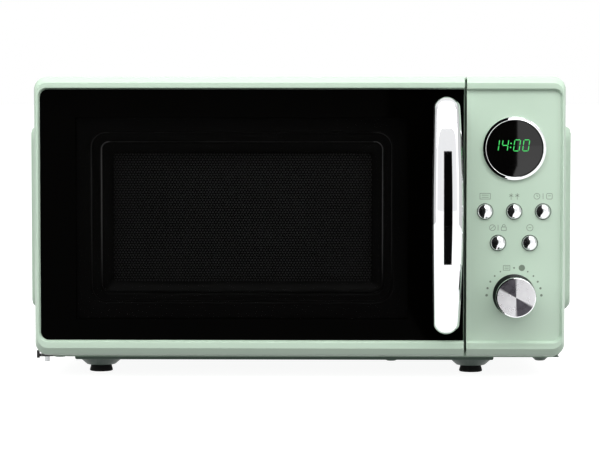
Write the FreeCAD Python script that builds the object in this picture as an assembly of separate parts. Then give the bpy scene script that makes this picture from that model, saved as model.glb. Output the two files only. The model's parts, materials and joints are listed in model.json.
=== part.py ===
import FreeCAD, Part
import math
import os

from FreeCAD import Vector

# Retro countertop microwave oven, in millimetres. +X is right, the door faces -Y and +Z is up.
# The origin lies on the resting plane, under the middle of the overall box. The parts are laid out
# from a datum above that plane and are raised by its height when they are written.
DATUM_HEIGHT = 7.0

# ---- front: door and control panel behind one raised lip ----
FRONT_HALF_W = 226.3      # half the width of door and panel together
FRONT_Z0 = 13.5           # lower edge of the door
FRONT_Z1 = 251.7          # upper edge of the door
GAP_LEFT = 140.4          # right edge of the door
GAP_RIGHT = 142.4         # left edge of the control panel
LIP_Y = -151.0            # foremost plane of the lip
FACE_Y = -147.5           # glass and control face, set back behind the lip
CORNER_R = 11.5           # outer corners
LIP_FILLET = 4.0
LIP_SIDE = 4.9            # lip widths, seen from the front
LIP_TOP = 10.7
LIP_BOTTOM = 13.2
LIP_PANEL_SIDE = 3.9
INNER_R = 7.0             # inner corners of the lip
WALL = 2.5                # moulded walls

# ---- door ----
DOOR_REAR_Y = -117.4
GLASS_T = 3.0
LEDGE_Y = -142.0          # rear of the ledge that carries the glass
LATCH_BAY_X = 112.0       # the window plate ends here and the latch bay begins
WINDOW_OUTER = (-178.8, 79.2, 59.0, 204.5)    # x0, x1, z0, z1 of the outer window step
WINDOW_INNER = (-170.6, 71.6, 66.0, 196.6)
SCREEN_AREA = (-160.0, 61.8, 76.0, 186.0)
PLATE_Y = -141.0
STEP = 6.0
HINGE_X = -218.6
HINGE_Y = -127.0
HINGE_PIN_R = 2.0
HINGE_BORE_R = 2.05
LOWER_ARM_Z = 10.7
UPPER_ARM_Z = 236.4
TAB_X = (-229.0, -226.6)   # upright tab of the lower bracket, outside the door
TAB_Z = (7.8, 14.4)
TAB_T = 1.3

# ---- handle ----
HANDLE_X = 124.9
HANDLE_Z0 = 32.4
HANDLE_Z1 = 235.1
HANDLE_FRONT_Y = -182.0   # foremost point, half way up
HANDLE_END_Y = -164.0     # front of the bar where its ends turn down to the door
HANDLE_END_R = 12.0
HANDLE_W_MID = 26.4
HANDLE_W_END = 22.0
HANDLE_T = 8.5
HANDLE_SCREWS_Z = (HANDLE_Z0 + 7.0, HANDLE_Z1 - 7.0)
HANDLE_SCREW_R = 1.5

# ---- controls ----
DISPLAY_X = 182.8
DISPLAY_Z = 190.8
RING_R = 26.9
LENS_R = 24.1
BUTTON_R = 6.4
BUTTON_PLACES = ((158.1, 137.1), (182.8, 137.1), (207.3, 137.1), (169.2, 110.3), (196.2, 110.3))
BUTTON_TRAVEL = 1.2
KNOB_X = 183.0
KNOB_Z = 65.6
KNOB_R = 17.0
KNOB_FACE_R = 15.9
KNOB_FRONT_Y = -173.5
COLLAR_R = 18.1
BOARD_Y = -131.0          # front of the control board

# ---- cabinet ----
CAB_FRONT_Y = -115.0      # front of the front plate
REAR_Y = 175.0            # outside of the rear panel
SPACER_END_Y = 182.0
SHEET = 1.0
CASING_HALF_W = 225.6
CASING_TOP = 250.8
CASING_BOTTOM = 9.0
BULGE_X = 235.8           # crest of the pressed side panels
BULGE_TAPER = 7.0
BULGE_Y = (-104.0, 150.0)
BULGE_Z = (44.0, 214.0)
BASE_Z = 9.0
BASE_TOP = 10.0
BOSS_BOTTOM = -1.0
BOSS_R = (12.6, 24.0)     # bottom and top of the domed foot bosses
FOOT_R = (8.9, 10.3)      # top and bottom of a rubber foot
STUD_R = 3.0
RAIL_BOTTOM = 6.3         # front rail of the base plate, turned down
RAIL_X = (-196.0, 168.0)
DIMPLES = ((209.0, -104.0, 5.2), (79.4, -104.0, 4.8), (-210.0, -104.0, 7.6))
GLAND_X = 196.0
GLAND_Z = 40.0
GLAND_R = 6.0
CORD_BORE_R = 3.6
SPACER_PLACES = ((-150.0, 236.0), (60.0, 236.0))
SCREW_PLACES = ((-218.0, 60.0), (-218.0, 150.0), (-218.0, 225.0), (218.0, 60.0), (218.0, 150.0),
                (218.0, 225.0), (-90.0, 243.0), (0.0, 243.0), (110.0, 243.0))
FOOT_PLACES = ((-176.3, -82.0), (149.9, -82.0), (-176.3, 138.0), (149.9, 138.0))

# ---- cavity and turntable ----
CAVITY_X = (-208.0, 98.0)
CAVITY_Z = (27.0, 225.0)
CAVITY_REAR_Y = 160.0
TABLE_X = -55.0
TABLE_Y = 22.5
TABLE_CENTRE = Vector(TABLE_X, TABLE_Y, 0)
PLATE_R = 127.5
ROLLER_R = 8.0
ROLLER_TRACK_R = 95.0
RUNNING_GAP = 0.3         # rollers to the floor below and the glass above
ROLLER_AXIS_Z = CAVITY_Z[0] + ROLLER_R + RUNNING_GAP
PLATE_BOTTOM_Z = ROLLER_AXIS_Z + ROLLER_R + RUNNING_GAP

# ---- electronics bay ----
BAY_X = CAVITY_X[1] + SHEET
LATCH_X = (126.0, 130.0)
HOOK_SLOT_X = (125.0, 132.6)    # room to the right, where the hooks swing out with the door
HOOK_Z = (66.0, 200.0)    # undersides of the two latch hooks
FAN_X = 162.0
FAN_Z = 150.0
SHROUD_Y = 118.0
MAGNETRON_Z = (140.0, 205.0)
MAGNETRON_HALF_D = 26.0   # half the depth of its yoke and fins
WAVE_Y = (-25.0, 60.0)
WAVE_Z = (128.0, 214.0)
LAMP_Y = 100.0
LAMP_Z = 196.0


def block(x0, x1, y0, y1, z0, z1):
    return Part.makeBox(x1 - x0, y1 - y0, z1 - z0, Vector(x0, y0, z0))


def rod(radius, start, end):
    way = end - start
    return Part.makeCylinder(radius, way.Length, start, way)


def rod_y(radius, x, z, y0, y1):
    return rod(radius, Vector(x, y0, z), Vector(x, y1, z))


def rod_z(radius, x, y, z0, z1):
    return rod(radius, Vector(x, y, z0), Vector(x, y, z1))


def tube_y(outer, inner, x, z, y0, y1):
    return rod_y(outer, x, z, y0, y1).cut(rod_y(inner, x, z, y0, y1))


def tube_z(outer, inner, x, y, z0, z1):
    return rod_z(outer, x, y, z0, z1).cut(rod_z(inner, x, y, z0, z1))


def rounded_wire(u0, u1, v0, v1, radii, place):
    """Rounded rectangle; radii run from the low-u low-v corner, place(u, v) gives the 3-D point."""
    corners = ((u0, v0, 1, 1, 180), (u1, v0, -1, 1, 270), (u1, v1, -1, -1, 0), (u0, v1, 1, -1, 90))
    edges = []
    ends = []
    for (u, v, su, sv, start), radius in zip(corners, radii):
        cu = u + su * radius
        cv = v + sv * radius
        points = []
        for turn in (0, 45, 90):
            angle = math.radians(start + turn)
            points.append(place(cu + radius * math.cos(angle), cv + radius * math.sin(angle)))
        if radius > 0:
            edges.append(Part.Arc(*points).toShape())
        ends.append((points[0], points[2]))
    for here, there in zip(ends, ends[1:] + ends[:1]):
        if here[1].distanceToPoint(there[0]) > 1e-6:
            edges.append(Part.LineSegment(here[1], there[0]).toShape())
    return Part.Wire(Part.__sortEdges__(edges))


def front_plate_shape(x0, x1, z0, z1, y0, y1, radii):
    """Plate across the front, between planes y0 and y1; radii from bottom left, counter-clockwise."""
    if not isinstance(radii, tuple):
        radii = (radii,) * 4
    wire = rounded_wire(x0, x1, z0, z1, radii, lambda u, v: Vector(u, y0, v))
    return Part.Face(wire).extrude(Vector(0, y1 - y0, 0))


def side_plate_shape(x0, x1, y0, y1, z0, z1, radius):
    """Plate lying in a side wall, between planes x0 and x1, with rounded corners."""
    wire = rounded_wire(y0, y1, z0, z1, (radius,) * 4, lambda u, v: Vector(x0, u, v))
    return Part.Face(wire).extrude(Vector(x1 - x0, 0, 0))


def fuse(first, *others):
    return first.multiFuse(list(others)).removeSplitter()


def cut(solid, *tools):
    return solid.cut(list(tools))


def group(shapes):
    return Part.makeCompound(list(shapes))


def turned(profile, x, z):
    """Solid of revolution about the line through (x, z) along Y; profile holds (radius, y) pairs."""
    points = [Vector(x + radius, y, z) for radius, y in profile]
    face = Part.Face(Part.makePolygon(points + points[:1]))
    return face.revolve(Vector(x, 0, z), Vector(0, 1, 0), 360)


def turned_z(profile, x, y):
    """Solid of revolution about the upright line through (x, y); profile holds (radius, z) pairs."""
    points = [Vector(x + radius, y, z) for radius, z in profile]
    face = Part.Face(Part.makePolygon(points + points[:1]))
    return face.revolve(Vector(x, y, 0), Vector(0, 0, 1), 360)


def lip_edges(solid, gap_x):
    """Edges of the front plane, without the straight one beside the gap."""
    edges = []
    for edge in solid.Edges:
        box = edge.BoundBox
        on_front = abs(box.YMin - LIP_Y) < 1e-4 and abs(box.YMax - LIP_Y) < 1e-4
        beside_gap = abs(box.XMin - gap_x) < 1e-4 and abs(box.XMax - gap_x) < 1e-4
        if on_front and not beside_gap:
            edges.append(edge)
    return edges


# ---- door ----

def door_frame():
    body = front_plate_shape(-FRONT_HALF_W, GAP_LEFT, FRONT_Z0, FRONT_Z1, LIP_Y, DOOR_REAR_Y,
                             (CORNER_R, 0, 0, CORNER_R))
    body = body.makeFillet(LIP_FILLET, lip_edges(body, GAP_LEFT))
    recess = front_plate_shape(-FRONT_HALF_W + LIP_SIDE, GAP_LEFT + 5, FRONT_Z0 + LIP_BOTTOM,
                               FRONT_Z1 - LIP_TOP, LIP_Y - 1, FACE_Y + GLASS_T,
                               (INNER_R, 0, 0, INNER_R))
    light = block(-200, 104, FACE_Y, LEDGE_Y + 1, 46, 220)
    hollow = front_plate_shape(-FRONT_HALF_W + WALL, GAP_LEFT - WALL, FRONT_Z0 + WALL,
                               FRONT_Z1 - WALL, LEDGE_Y, DOOR_REAR_Y + 1,
                               (CORNER_R - WALL, 2, 2, CORNER_R - WALL))
    body = cut(body, recess, light, hollow)
    # solid corners that take the hinge pins, and the slot that the upper bracket enters by
    inner_x = -FRONT_HALF_W + WALL
    foot = block(inner_x, -208, LEDGE_Y, -121.5, FRONT_Z0 + WALL, 24).cut(
        block(inner_x - 1, inner_x + 7, LEDGE_Y - 1, -120, 0, FRONT_Z0 + WALL + 6.5))
    head = block(inner_x, -208, LEDGE_Y, -121.5, 239.8, FRONT_Z1 - WALL).cut(
        block(inner_x - 1, inner_x + 7, LEDGE_Y - 1, -120, FRONT_Z1 - WALL - 6.5, 260))
    body = fuse(body, foot, head)
    slot = block(-FRONT_HALF_W - 1, -203, -136, DOOR_REAR_Y + 1, 235.0, 239.8)
    lower_bore = rod_z(HINGE_BORE_R, HINGE_X, HINGE_Y, FRONT_Z0 - 1, 21.5)
    upper_bore = rod_z(HINGE_BORE_R, HINGE_X, HINGE_Y, 239.0, 246.5)
    body = cut(body, slot, lower_bore, upper_bore)
    # the rear left edge is rounded so that it swings clear of the cabinet
    radius = 6.0
    corner = block(-FRONT_HALF_W - 1, -FRONT_HALF_W + radius, DOOR_REAR_Y - radius, DOOR_REAR_Y + 1,
                   FRONT_Z0 - 1, FRONT_Z1 + 1)
    round_post = rod_z(radius, -FRONT_HALF_W + radius, DOOR_REAR_Y - radius, FRONT_Z0 - 2, FRONT_Z1 + 2)
    return cut(body, corner.cut(round_post))


def door_glass():
    return front_plate_shape(-FRONT_HALF_W + LIP_SIDE + 0.2, GAP_LEFT - 0.5,
                             FRONT_Z0 + LIP_BOTTOM + 0.2, FRONT_Z1 - LIP_TOP - 0.2,
                             FACE_Y, FACE_Y + GLASS_T, (INNER_R - 0.2, 0.5, 0.5, INNER_R - 0.2))


def grown(area, margin):
    x0, x1, z0, z1 = area
    return (x0 - margin, x1 + margin, z0 - margin, z1 + margin)


def window_plate():
    """Pressed steel plate: a pan open to the rear with a well that steps back twice."""
    pan = front_plate_shape(-206, LATCH_BAY_X, 22, 232, PLATE_Y, -121.6, 6)
    pan = pan.cut(front_plate_shape(-205, LATCH_BAY_X - 1, 23, 231, PLATE_Y + 1, -121, 5))
    first = front_plate_shape(*grown(WINDOW_OUTER, 1), PLATE_Y, PLATE_Y + STEP + 1, 14)
    second = front_plate_shape(*grown(WINDOW_INNER, 1), PLATE_Y + STEP, PLATE_Y + 2 * STEP + 1, 8)
    first_hole = front_plate_shape(*WINDOW_OUTER, PLATE_Y - 1, PLATE_Y + STEP, 13)
    second_hole = front_plate_shape(*WINDOW_INNER, PLATE_Y, PLATE_Y + 2 * STEP, 7)
    x0, x1, z0, z1 = SCREEN_AREA
    light = block(x0, x1, PLATE_Y, PLATE_Y + 20, z0, z1)
    return cut(fuse(pan, first, second), first_hole, second_hole, light)


def screen_mesh():
    y0 = PLATE_Y + 2 * STEP + 1
    return front_plate_shape(*grown(SCREEN_AREA, 5), y0, y0 + 0.6, 3)


def choke_cover():
    """Rear cover of the door, cut away round the hinges and slotted for the latch hooks."""
    frame = front_plate_shape(-222, 136, 18, 247, -121, DOOR_REAR_Y, 6)
    window = front_plate_shape(*grown(SCREEN_AREA, 12), -122, DOOR_REAR_Y + 1, 6)
    hinge_room = block(-223, -203, -122, DOOR_REAR_Y + 1, 232, 248)
    tools = [window, hinge_room]
    for hook_z in HOOK_Z:
        tools.append(block(LATCH_X[0] - 1, LATCH_X[1] + 1, -122, DOOR_REAR_Y + 1,
                           hook_z - 5, hook_z + 12.5))
    return cut(frame, *tools)


def inner_film():
    return front_plate_shape(*grown(SCREEN_AREA, 17), -121.6, -121, 4)


def handle():
    """Bowed bar whose ends turn down to the door, trimmed in front view to swell at mid height."""
    mid_z = (HANDLE_Z0 + HANDLE_Z1) / 2
    radius = HANDLE_END_R
    slant = radius * math.sqrt(0.5)
    low = (Vector(0, HANDLE_END_Y + radius, HANDLE_Z0), Vector(0, HANDLE_END_Y, HANDLE_Z0 + radius))
    high = (Vector(0, HANDLE_END_Y, HANDLE_Z1 - radius), Vector(0, HANDLE_END_Y + radius, HANDLE_Z1))
    low_bend = Vector(0, HANDLE_END_Y + radius - slant, HANDLE_Z0 + radius - slant)
    high_bend = Vector(0, HANDLE_END_Y + radius - slant, HANDLE_Z1 - radius + slant)
    foot_h = radius + 2
    inner_low = Vector(0, HANDLE_END_Y + HANDLE_T, HANDLE_Z0 + foot_h)
    inner_high = Vector(0, HANDLE_END_Y + HANDLE_T, HANDLE_Z1 - foot_h)
    feet_z = (HANDLE_Z0, HANDLE_Z0 + foot_h, HANDLE_Z1 - foot_h, HANDLE_Z1)
    feet = [Vector(0, FACE_Y, z) for z in feet_z]
    band = Part.Wire([
        Part.LineSegment(feet[0], low[0]).toShape(),
        Part.Arc(low[0], low_bend, low[1]).toShape(),
        Part.Arc(low[1], Vector(0, HANDLE_FRONT_Y, mid_z), high[0]).toShape(),
        Part.Arc(high[0], high_bend, high[1]).toShape(),
        Part.LineSegment(high[1], feet[3]).toShape(),
        Part.LineSegment(feet[3], feet[2]).toShape(),
        Part.LineSegment(feet[2], inner_high).toShape(),
        Part.Arc(inner_high, Vector(0, HANDLE_FRONT_Y + HANDLE_T, mid_z), inner_low).toShape(),
        Part.LineSegment(inner_low, feet[1]).toShape(),
        Part.LineSegment(feet[1], feet[0]).toShape(),
    ])
    bar = Part.Face(band).extrude(Vector(HANDLE_W_MID + 2, 0, 0))
    bar.translate(Vector(HANDLE_X - HANDLE_W_MID / 2 - 1, 0, 0))
    half_mid = HANDLE_W_MID / 2
    half_end = HANDLE_W_END / 2
    corner = 8.0
    right = Part.Arc(Vector(half_end, 0, HANDLE_Z0 + corner), Vector(half_mid, 0, mid_z),
                     Vector(half_end, 0, HANDLE_Z1 - corner)).toShape()
    left = Part.Arc(Vector(-half_end, 0, HANDLE_Z1 - corner), Vector(-half_mid, 0, mid_z),
                    Vector(-half_end, 0, HANDLE_Z0 + corner)).toShape()
    top = Part.Arc(Vector(half_end, 0, HANDLE_Z1 - corner), Vector(0, 0, HANDLE_Z1),
                   Vector(-half_end, 0, HANDLE_Z1 - corner)).toShape()
    bottom = Part.Arc(Vector(-half_end, 0, HANDLE_Z0 + corner), Vector(0, 0, HANDLE_Z0),
                      Vector(half_end, 0, HANDLE_Z0 + corner)).toShape()
    outline = Part.Wire([right, top, left, bottom])
    outline.translate(Vector(HANDLE_X, HANDLE_FRONT_Y - 1, 0))
    trim = Part.Face(outline).extrude(Vector(0, 50, 0))
    bar = bar.common(trim)
    for place in HANDLE_SCREWS_Z:
        bar = bar.cut(rod_y(HANDLE_SCREW_R, HANDLE_X, place, FACE_Y - 6, FACE_Y + 1))
    return bar


def handle_screws():
    """Pan-head screws through the ledge and the glass into the feet of the handle."""
    screws = []
    for place in HANDLE_SCREWS_Z:
        shank = rod_y(HANDLE_SCREW_R, HANDLE_X, place, FACE_Y - 6, LEDGE_Y)
        head = rod_y(3.5, HANDLE_X, place, LEDGE_Y, LEDGE_Y + 2.2)
        screws.append(fuse(shank, head))
    return group(screws)


def handle_screw_holes():
    return [rod_y(HANDLE_SCREW_R, HANDLE_X, z, FACE_Y - 1, LEDGE_Y + 1) for z in HANDLE_SCREWS_Z]


def door_latch():
    """Sprung bar inside the door with two hooks that reach through into the interlock bracket."""
    x0, x1 = LATCH_X
    bar = block(x0, x1, -134, -126, HOOK_Z[0] - 8, HOOK_Z[1] + 14)
    parts = []
    for hook_z in HOOK_Z:
        arm = block(x0, x1, -127, -96, hook_z, hook_z + 8)
        outline = [Vector(x0, -103, hook_z + 1), Vector(x0, -103, hook_z - 3.5),
                   Vector(x0, -101, hook_z - 3.5), Vector(x0, -96, hook_z + 1)]
        barb = Part.Face(Part.makePolygon(outline + outline[:1])).extrude(Vector(x1 - x0, 0, 0))
        parts.extend((arm, barb))
    return fuse(bar, *parts)


def latch_spring():
    """Compression spring above the latch bar, its coils closed into a plain sleeve."""
    return tube_z(2.6, 1.9, (LATCH_X[0] + LATCH_X[1]) / 2, -130, HOOK_Z[1] + 17.6, HOOK_Z[1] + 28.0)


def spring_cup():
    """Shelf on the side wall of the door frame that holds the upper end of the latch spring."""
    return block(LATCH_X[0] - 3, GAP_LEFT - WALL + 0.5, -138, -125, HOOK_Z[1] + 28.0, HOOK_Z[1] + 30.0)


# ---- hinges ----

def hinge_bracket(arm_z, flange_z0, flange_z1):
    """Black steel bracket: flange behind the front plate, arm reaching forward with the pin hole."""
    arm = block(HINGE_X - 5, HINGE_X + 5, HINGE_Y, CAB_FRONT_Y + SHEET, arm_z, arm_z + 2)
    nose = rod_z(5, HINGE_X, HINGE_Y, arm_z, arm_z + 2)
    flange = block(HINGE_X - 6, HINGE_X + 6, CAB_FRONT_Y + SHEET, CAB_FRONT_Y + SHEET + 1.6,
                   flange_z0, flange_z1)
    hole = rod_z(HINGE_PIN_R, HINGE_X, HINGE_Y, arm_z - 1, arm_z + 3)
    return fuse(arm, nose, flange).cut(hole)


def lower_hinge_bracket():
    """The lower bracket also has a T-shaped tab that shows beside the corner of the door."""
    y0 = CAB_FRONT_Y - TAB_T
    tab = block(*TAB_X, y0, CAB_FRONT_Y, *TAB_Z)
    stem = block(TAB_X[0], HINGE_X - 4, y0, CAB_FRONT_Y, BASE_Z, BASE_Z + 2.5)
    return fuse(hinge_bracket(LOWER_ARM_Z, BASE_TOP, 32), stem, tab)


def hinge_pins():
    lower = rod_z(HINGE_PIN_R, HINGE_X, HINGE_Y, 6.2, 20.5)
    upper = rod_z(HINGE_PIN_R, HINGE_X, HINGE_Y, UPPER_ARM_Z, 245.8)
    return group((lower, upper))


# ---- control panel and controls ----

def control_panel():
    body = front_plate_shape(GAP_RIGHT, FRONT_HALF_W, FRONT_Z0, FRONT_Z1, LIP_Y, CAB_FRONT_Y,
                             (0, CORNER_R, CORNER_R, 0))
    body = body.makeFillet(LIP_FILLET, lip_edges(body, GAP_RIGHT))
    recess = front_plate_shape(GAP_RIGHT - 5, FRONT_HALF_W - LIP_PANEL_SIDE,
                               FRONT_Z0 + LIP_BOTTOM - 0.4, FRONT_Z1 - LIP_TOP - 0.8,
                               LIP_Y - 1, FACE_Y, (0, INNER_R, INNER_R, 0))
    hollow = front_plate_shape(GAP_RIGHT + WALL, FRONT_HALF_W - WALL, FRONT_Z0 + WALL,
                               FRONT_Z1 - WALL, FACE_Y + WALL, CAB_FRONT_Y + 1,
                               (2, CORNER_R - WALL, CORNER_R - WALL, 2))
    tools = [recess, hollow, rod_y(20, DISPLAY_X, DISPLAY_Z, LIP_Y, FACE_Y + 5),
             rod_y(4.5, KNOB_X, KNOB_Z, LIP_Y, FACE_Y + 5)]
    for x, z in BUTTON_PLACES:
        tools.append(rod_y(BUTTON_R + 0.3, x, z, LIP_Y, FACE_Y + 5))
    body = cut(body, *tools)
    posts = []
    for x in (150.0, 219.0):
        for z in (44.0, 238.0):
            posts.append(rod_y(3, x, z, FACE_Y + WALL, BOARD_Y))
    return fuse(body, *posts)


def display_ring():
    return turned(((LENS_R, FACE_Y), (LENS_R, FACE_Y - 1.8), (LENS_R + 1.0, FACE_Y - 3.0),
                   (RING_R - 0.9, FACE_Y - 2.6), (RING_R, FACE_Y - 1.4), (RING_R, FACE_Y)),
                  DISPLAY_X, DISPLAY_Z)


def display_lens():
    """Domed disc: a flat back, a short upright edge and a front that is part of a sphere."""
    edge = LENS_R - 0.05
    crest_y = FACE_Y - 2.2
    back = Vector(DISPLAY_X, FACE_Y, DISPLAY_Z)
    back_edge = Vector(DISPLAY_X + edge, FACE_Y, DISPLAY_Z)
    front_edge = Vector(DISPLAY_X + edge, FACE_Y - 1.0, DISPLAY_Z)
    crest = Vector(DISPLAY_X, crest_y, DISPLAY_Z)
    rise = front_edge.y - crest_y
    radius = (edge * edge + rise * rise) / (2 * rise)
    half = math.asin(edge / radius) / 2
    crown_y = crest_y + radius * (1 - math.cos(half))
    crown = Vector(DISPLAY_X + radius * math.sin(half), crown_y, DISPLAY_Z)
    wire = Part.Wire([
        Part.LineSegment(back, back_edge).toShape(),
        Part.LineSegment(back_edge, front_edge).toShape(),
        Part.Arc(front_edge, crown, crest).toShape(),
        Part.LineSegment(crest, back).toShape(),
    ])
    return Part.Face(wire).revolve(Vector(DISPLAY_X, 0, DISPLAY_Z), Vector(0, 1, 0), 360)


def display_module():
    """Clock display: a potted block behind the lens, standing on the board by its pins."""
    face = block(DISPLAY_X - 17, DISPLAY_X + 17, -143, -135, DISPLAY_Z - 9, DISPLAY_Z + 11)
    pins = []
    for step in range(6):
        x = DISPLAY_X - 12.5 + 5 * step
        pins.append(block(x - 0.4, x + 0.4, -135, BOARD_Y, DISPLAY_Z - 7, DISPLAY_Z - 6.2))
        pins.append(block(x - 0.4, x + 0.4, -135, BOARD_Y, DISPLAY_Z + 8.2, DISPLAY_Z + 9))
    return fuse(face, *pins)


def control_board():
    board = block(146.5, 222.5, BOARD_Y, BOARD_Y + 1.6, 30, 242)
    relays = [block(152, 168, BOARD_Y + 1.6, BOARD_Y + 13.6, z, z + 19) for z in (52, 78, 104)]
    mains_transformer = block(180, 214, BOARD_Y + 1.6, BOARD_Y + 14, 128, 156)
    chip = block(188, 206, BOARD_Y + 1.6, BOARD_Y + 4, 86, 98)
    return fuse(board, mains_transformer, chip, *relays)


def tact_switches():
    switches = []
    for x, z in BUTTON_PLACES:
        body = block(x - 3, x + 3, BOARD_Y - 2.4, BOARD_Y, z - 3, z + 3)
        switches.append(fuse(body, rod_y(1.6, x, z, BOARD_Y - 3, BOARD_Y - 2.4)))
    return group(switches)


def push_button(x, z):
    """Domed cap with a retaining flange behind the panel and a stem that reaches for the switch."""
    rim_y = FACE_Y - 1.0
    crest_y = FACE_Y - 4.4
    flange_y = FACE_Y + WALL + 0.4
    stem_end = BOARD_Y - 3 - BUTTON_TRAVEL - 0.4
    points = (Vector(x, crest_y, z), Vector(x + 4.2, crest_y + 0.9, z), Vector(x + BUTTON_R, rim_y, z))
    outline = [Vector(x + BUTTON_R, flange_y, z), Vector(x + BUTTON_R + 1.2, flange_y, z),
               Vector(x + BUTTON_R + 1.2, flange_y + 1.4, z), Vector(x + 2.2, flange_y + 1.4, z),
               Vector(x + 2.2, stem_end, z), Vector(x, stem_end, z)]
    edges = [Part.Arc(*points).toShape()]
    chain = [points[2]] + outline + [points[0]]
    for start, end in zip(chain, chain[1:]):
        edges.append(Part.LineSegment(start, end).toShape())
    return Part.Face(Part.Wire(edges)).revolve(Vector(x, 0, z), Vector(0, 1, 0), 360)


def knob_collar():
    return tube_y(COLLAR_R, 6.0, KNOB_X, KNOB_Z, FACE_Y - 1.1, FACE_Y)


def knob():
    """Turned knob body, recessed for its face and bored for the shaft."""
    rear_y = FACE_Y - 1.5
    body = turned(((0, rear_y), (KNOB_R, rear_y), (KNOB_R, KNOB_FRONT_Y + 1.6),
                   (KNOB_R - 1.1, KNOB_FRONT_Y), (0, KNOB_FRONT_Y)), KNOB_X, KNOB_Z)
    recess = rod_y(KNOB_FACE_R, KNOB_X, KNOB_Z, KNOB_FRONT_Y - 1, KNOB_FRONT_Y + 1)
    bore = rod_y(3, KNOB_X, KNOB_Z, KNOB_FRONT_Y + 5, rear_y + 1)
    return cut(body, recess, bore)


def knob_face():
    return rod_y(KNOB_FACE_R, KNOB_X, KNOB_Z, KNOB_FRONT_Y + 0.2, KNOB_FRONT_Y + 1)


def knob_shaft():
    return rod_y(3, KNOB_X, KNOB_Z, KNOB_FRONT_Y + 5, BOARD_Y - 1.5)


def knob_encoder():
    bush = rod_y(4.2, KNOB_X, KNOB_Z, FACE_Y + 0.4, -138)
    body = block(KNOB_X - 6.5, KNOB_X + 6.5, -138, BOARD_Y, KNOB_Z - 6.5, KNOB_Z + 6.5)
    return fuse(bush, body).cut(rod_y(3.05, KNOB_X, KNOB_Z, FACE_Y, BOARD_Y - 1.2))


# ---- cabinet shell ----

def side_bulge(side, crest, inset):
    """Pressed side panel: a loft from the casing wall out to a smaller rectangle at its crest."""
    wires = []
    for x, margin, radius in ((CASING_HALF_W - 3, inset - 3, 18), (crest, inset + BULGE_TAPER, 12)):
        wires.append(rounded_wire(BULGE_Y[0] + margin, BULGE_Y[1] - margin, BULGE_Z[0] + margin,
                                  BULGE_Z[1] - margin, (radius,) * 4,
                                  lambda u, v, x=x: Vector(side * x, u, v)))
    return Part.makeLoft(wires, True, True)


def outer_casing():
    y0 = CAB_FRONT_Y + SHEET
    y1 = REAR_Y - SHEET
    low = 4.0
    shell = front_plate_shape(-CASING_HALF_W, CASING_HALF_W, CASING_BOTTOM, CASING_TOP, y0, y1,
                              (low, low, CORNER_R, CORNER_R))
    shell = fuse(shell, side_bulge(-1, BULGE_X, 0), side_bulge(1, BULGE_X, 0))
    inside = front_plate_shape(-CASING_HALF_W + SHEET, CASING_HALF_W - SHEET, CASING_BOTTOM - 5,
                               CASING_TOP - SHEET, y0 - 1, y1 + 1,
                               (0, 0, CORNER_R - SHEET, CORNER_R - SHEET))
    inside = fuse(inside, side_bulge(-1, BULGE_X - SHEET, 1), side_bulge(1, BULGE_X - SHEET, 1))
    shell = shell.cut(inside)
    slots = []
    for column in (0, 1):
        for row in range(9):
            y = 52 + 44 * column
            z = 92 + 9 * row
            slots.append(block(CASING_HALF_W - 2, BULGE_X + 1, y, y + 34, z, z + 3))
            if row >= 3:
                slots.append(block(-BULGE_X - 1, -CASING_HALF_W + 2, y, y + 34, z, z + 3))
    return cut(shell, *slots)


def base_plate():
    y0 = CAB_FRONT_Y + SHEET
    y1 = REAR_Y - SHEET
    half = CASING_HALF_W - SHEET
    plate = block(-half, half, y0, y1, BASE_Z, BASE_TOP)
    rims = [block(x, x + SHEET, -95, y1, BASE_TOP, 20) for x in (-half, half - SHEET)]
    rail = front_plate_shape(*RAIL_X, RAIL_BOTTOM, BASE_Z + 0.5, y0, y0 + SHEET, (1.5, 1.5, 0, 0))
    bosses = []
    wells = []
    drop = BASE_Z - BOSS_BOTTOM
    for x, y in FOOT_PLACES:
        bosses.append(Part.makeCone(*BOSS_R, drop, Vector(x, y, BOSS_BOTTOM)))
        wells.append(Part.makeCone(BOSS_R[0] - SHEET, BOSS_R[1] - SHEET, drop,
                                   Vector(x, y, BOSS_BOTTOM + SHEET)))
        wells.append(rod_z(STUD_R, x, y, BOSS_BOTTOM - 1, BOSS_BOTTOM + 3))
    for x, y, bottom in DIMPLES:
        bosses.append(Part.makeCone(4, 8, BASE_Z - bottom, Vector(x, y, bottom)))
        wells.append(Part.makeCone(3, 7, BASE_Z - bottom, Vector(x, y, bottom + SHEET)))
    return cut(fuse(plate, rail, *rims, *bosses), *wells)


def rubber_feet():
    feet = []
    top_r, bottom_r = FOOT_R
    floor = -DATUM_HEIGHT
    stud_top = BOSS_BOTTOM + SHEET
    for x, y in FOOT_PLACES:
        pad = turned_z(((0, floor), (bottom_r - 0.6, floor), (bottom_r, floor + 0.8),
                        (top_r, BOSS_BOTTOM), (0, BOSS_BOTTOM)), x, y)
        stud = rod_z(STUD_R, x, y, BOSS_BOTTOM, stud_top)
        barb = Part.makeCone(4.2, 2.4, 2.8, Vector(x, y, stud_top))
        feet.append(fuse(pad, stud, barb))
    return group(feet)


def rear_panel():
    half = CASING_HALF_W
    panel = front_plate_shape(-half, half, CASING_BOTTOM, CASING_TOP, REAR_Y - SHEET, REAR_Y,
                              (4, 4, CORNER_R, CORNER_R))
    slots = []
    for row in range(13):
        z = FAN_Z - 48 + 8 * row
        reach = math.sqrt(max(52 ** 2 - (z - FAN_Z) ** 2, 64))
        slots.append(block(FAN_X - reach, FAN_X - 2, REAR_Y - 3, REAR_Y + 1, z - 1.8, z + 1.8))
        slots.append(block(FAN_X + 2, FAN_X + reach, REAR_Y - 3, REAR_Y + 1, z - 1.8, z + 1.8))
    for column in range(12):
        x = -190 + 14 * column
        slots.append(block(x, x + 4, REAR_Y - 3, REAR_Y + 1, 200, 228))
    slots.append(rod_y(GLAND_R, GLAND_X, GLAND_Z, REAR_Y - 3, REAR_Y + 1))
    return cut(panel, *slots)


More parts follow.
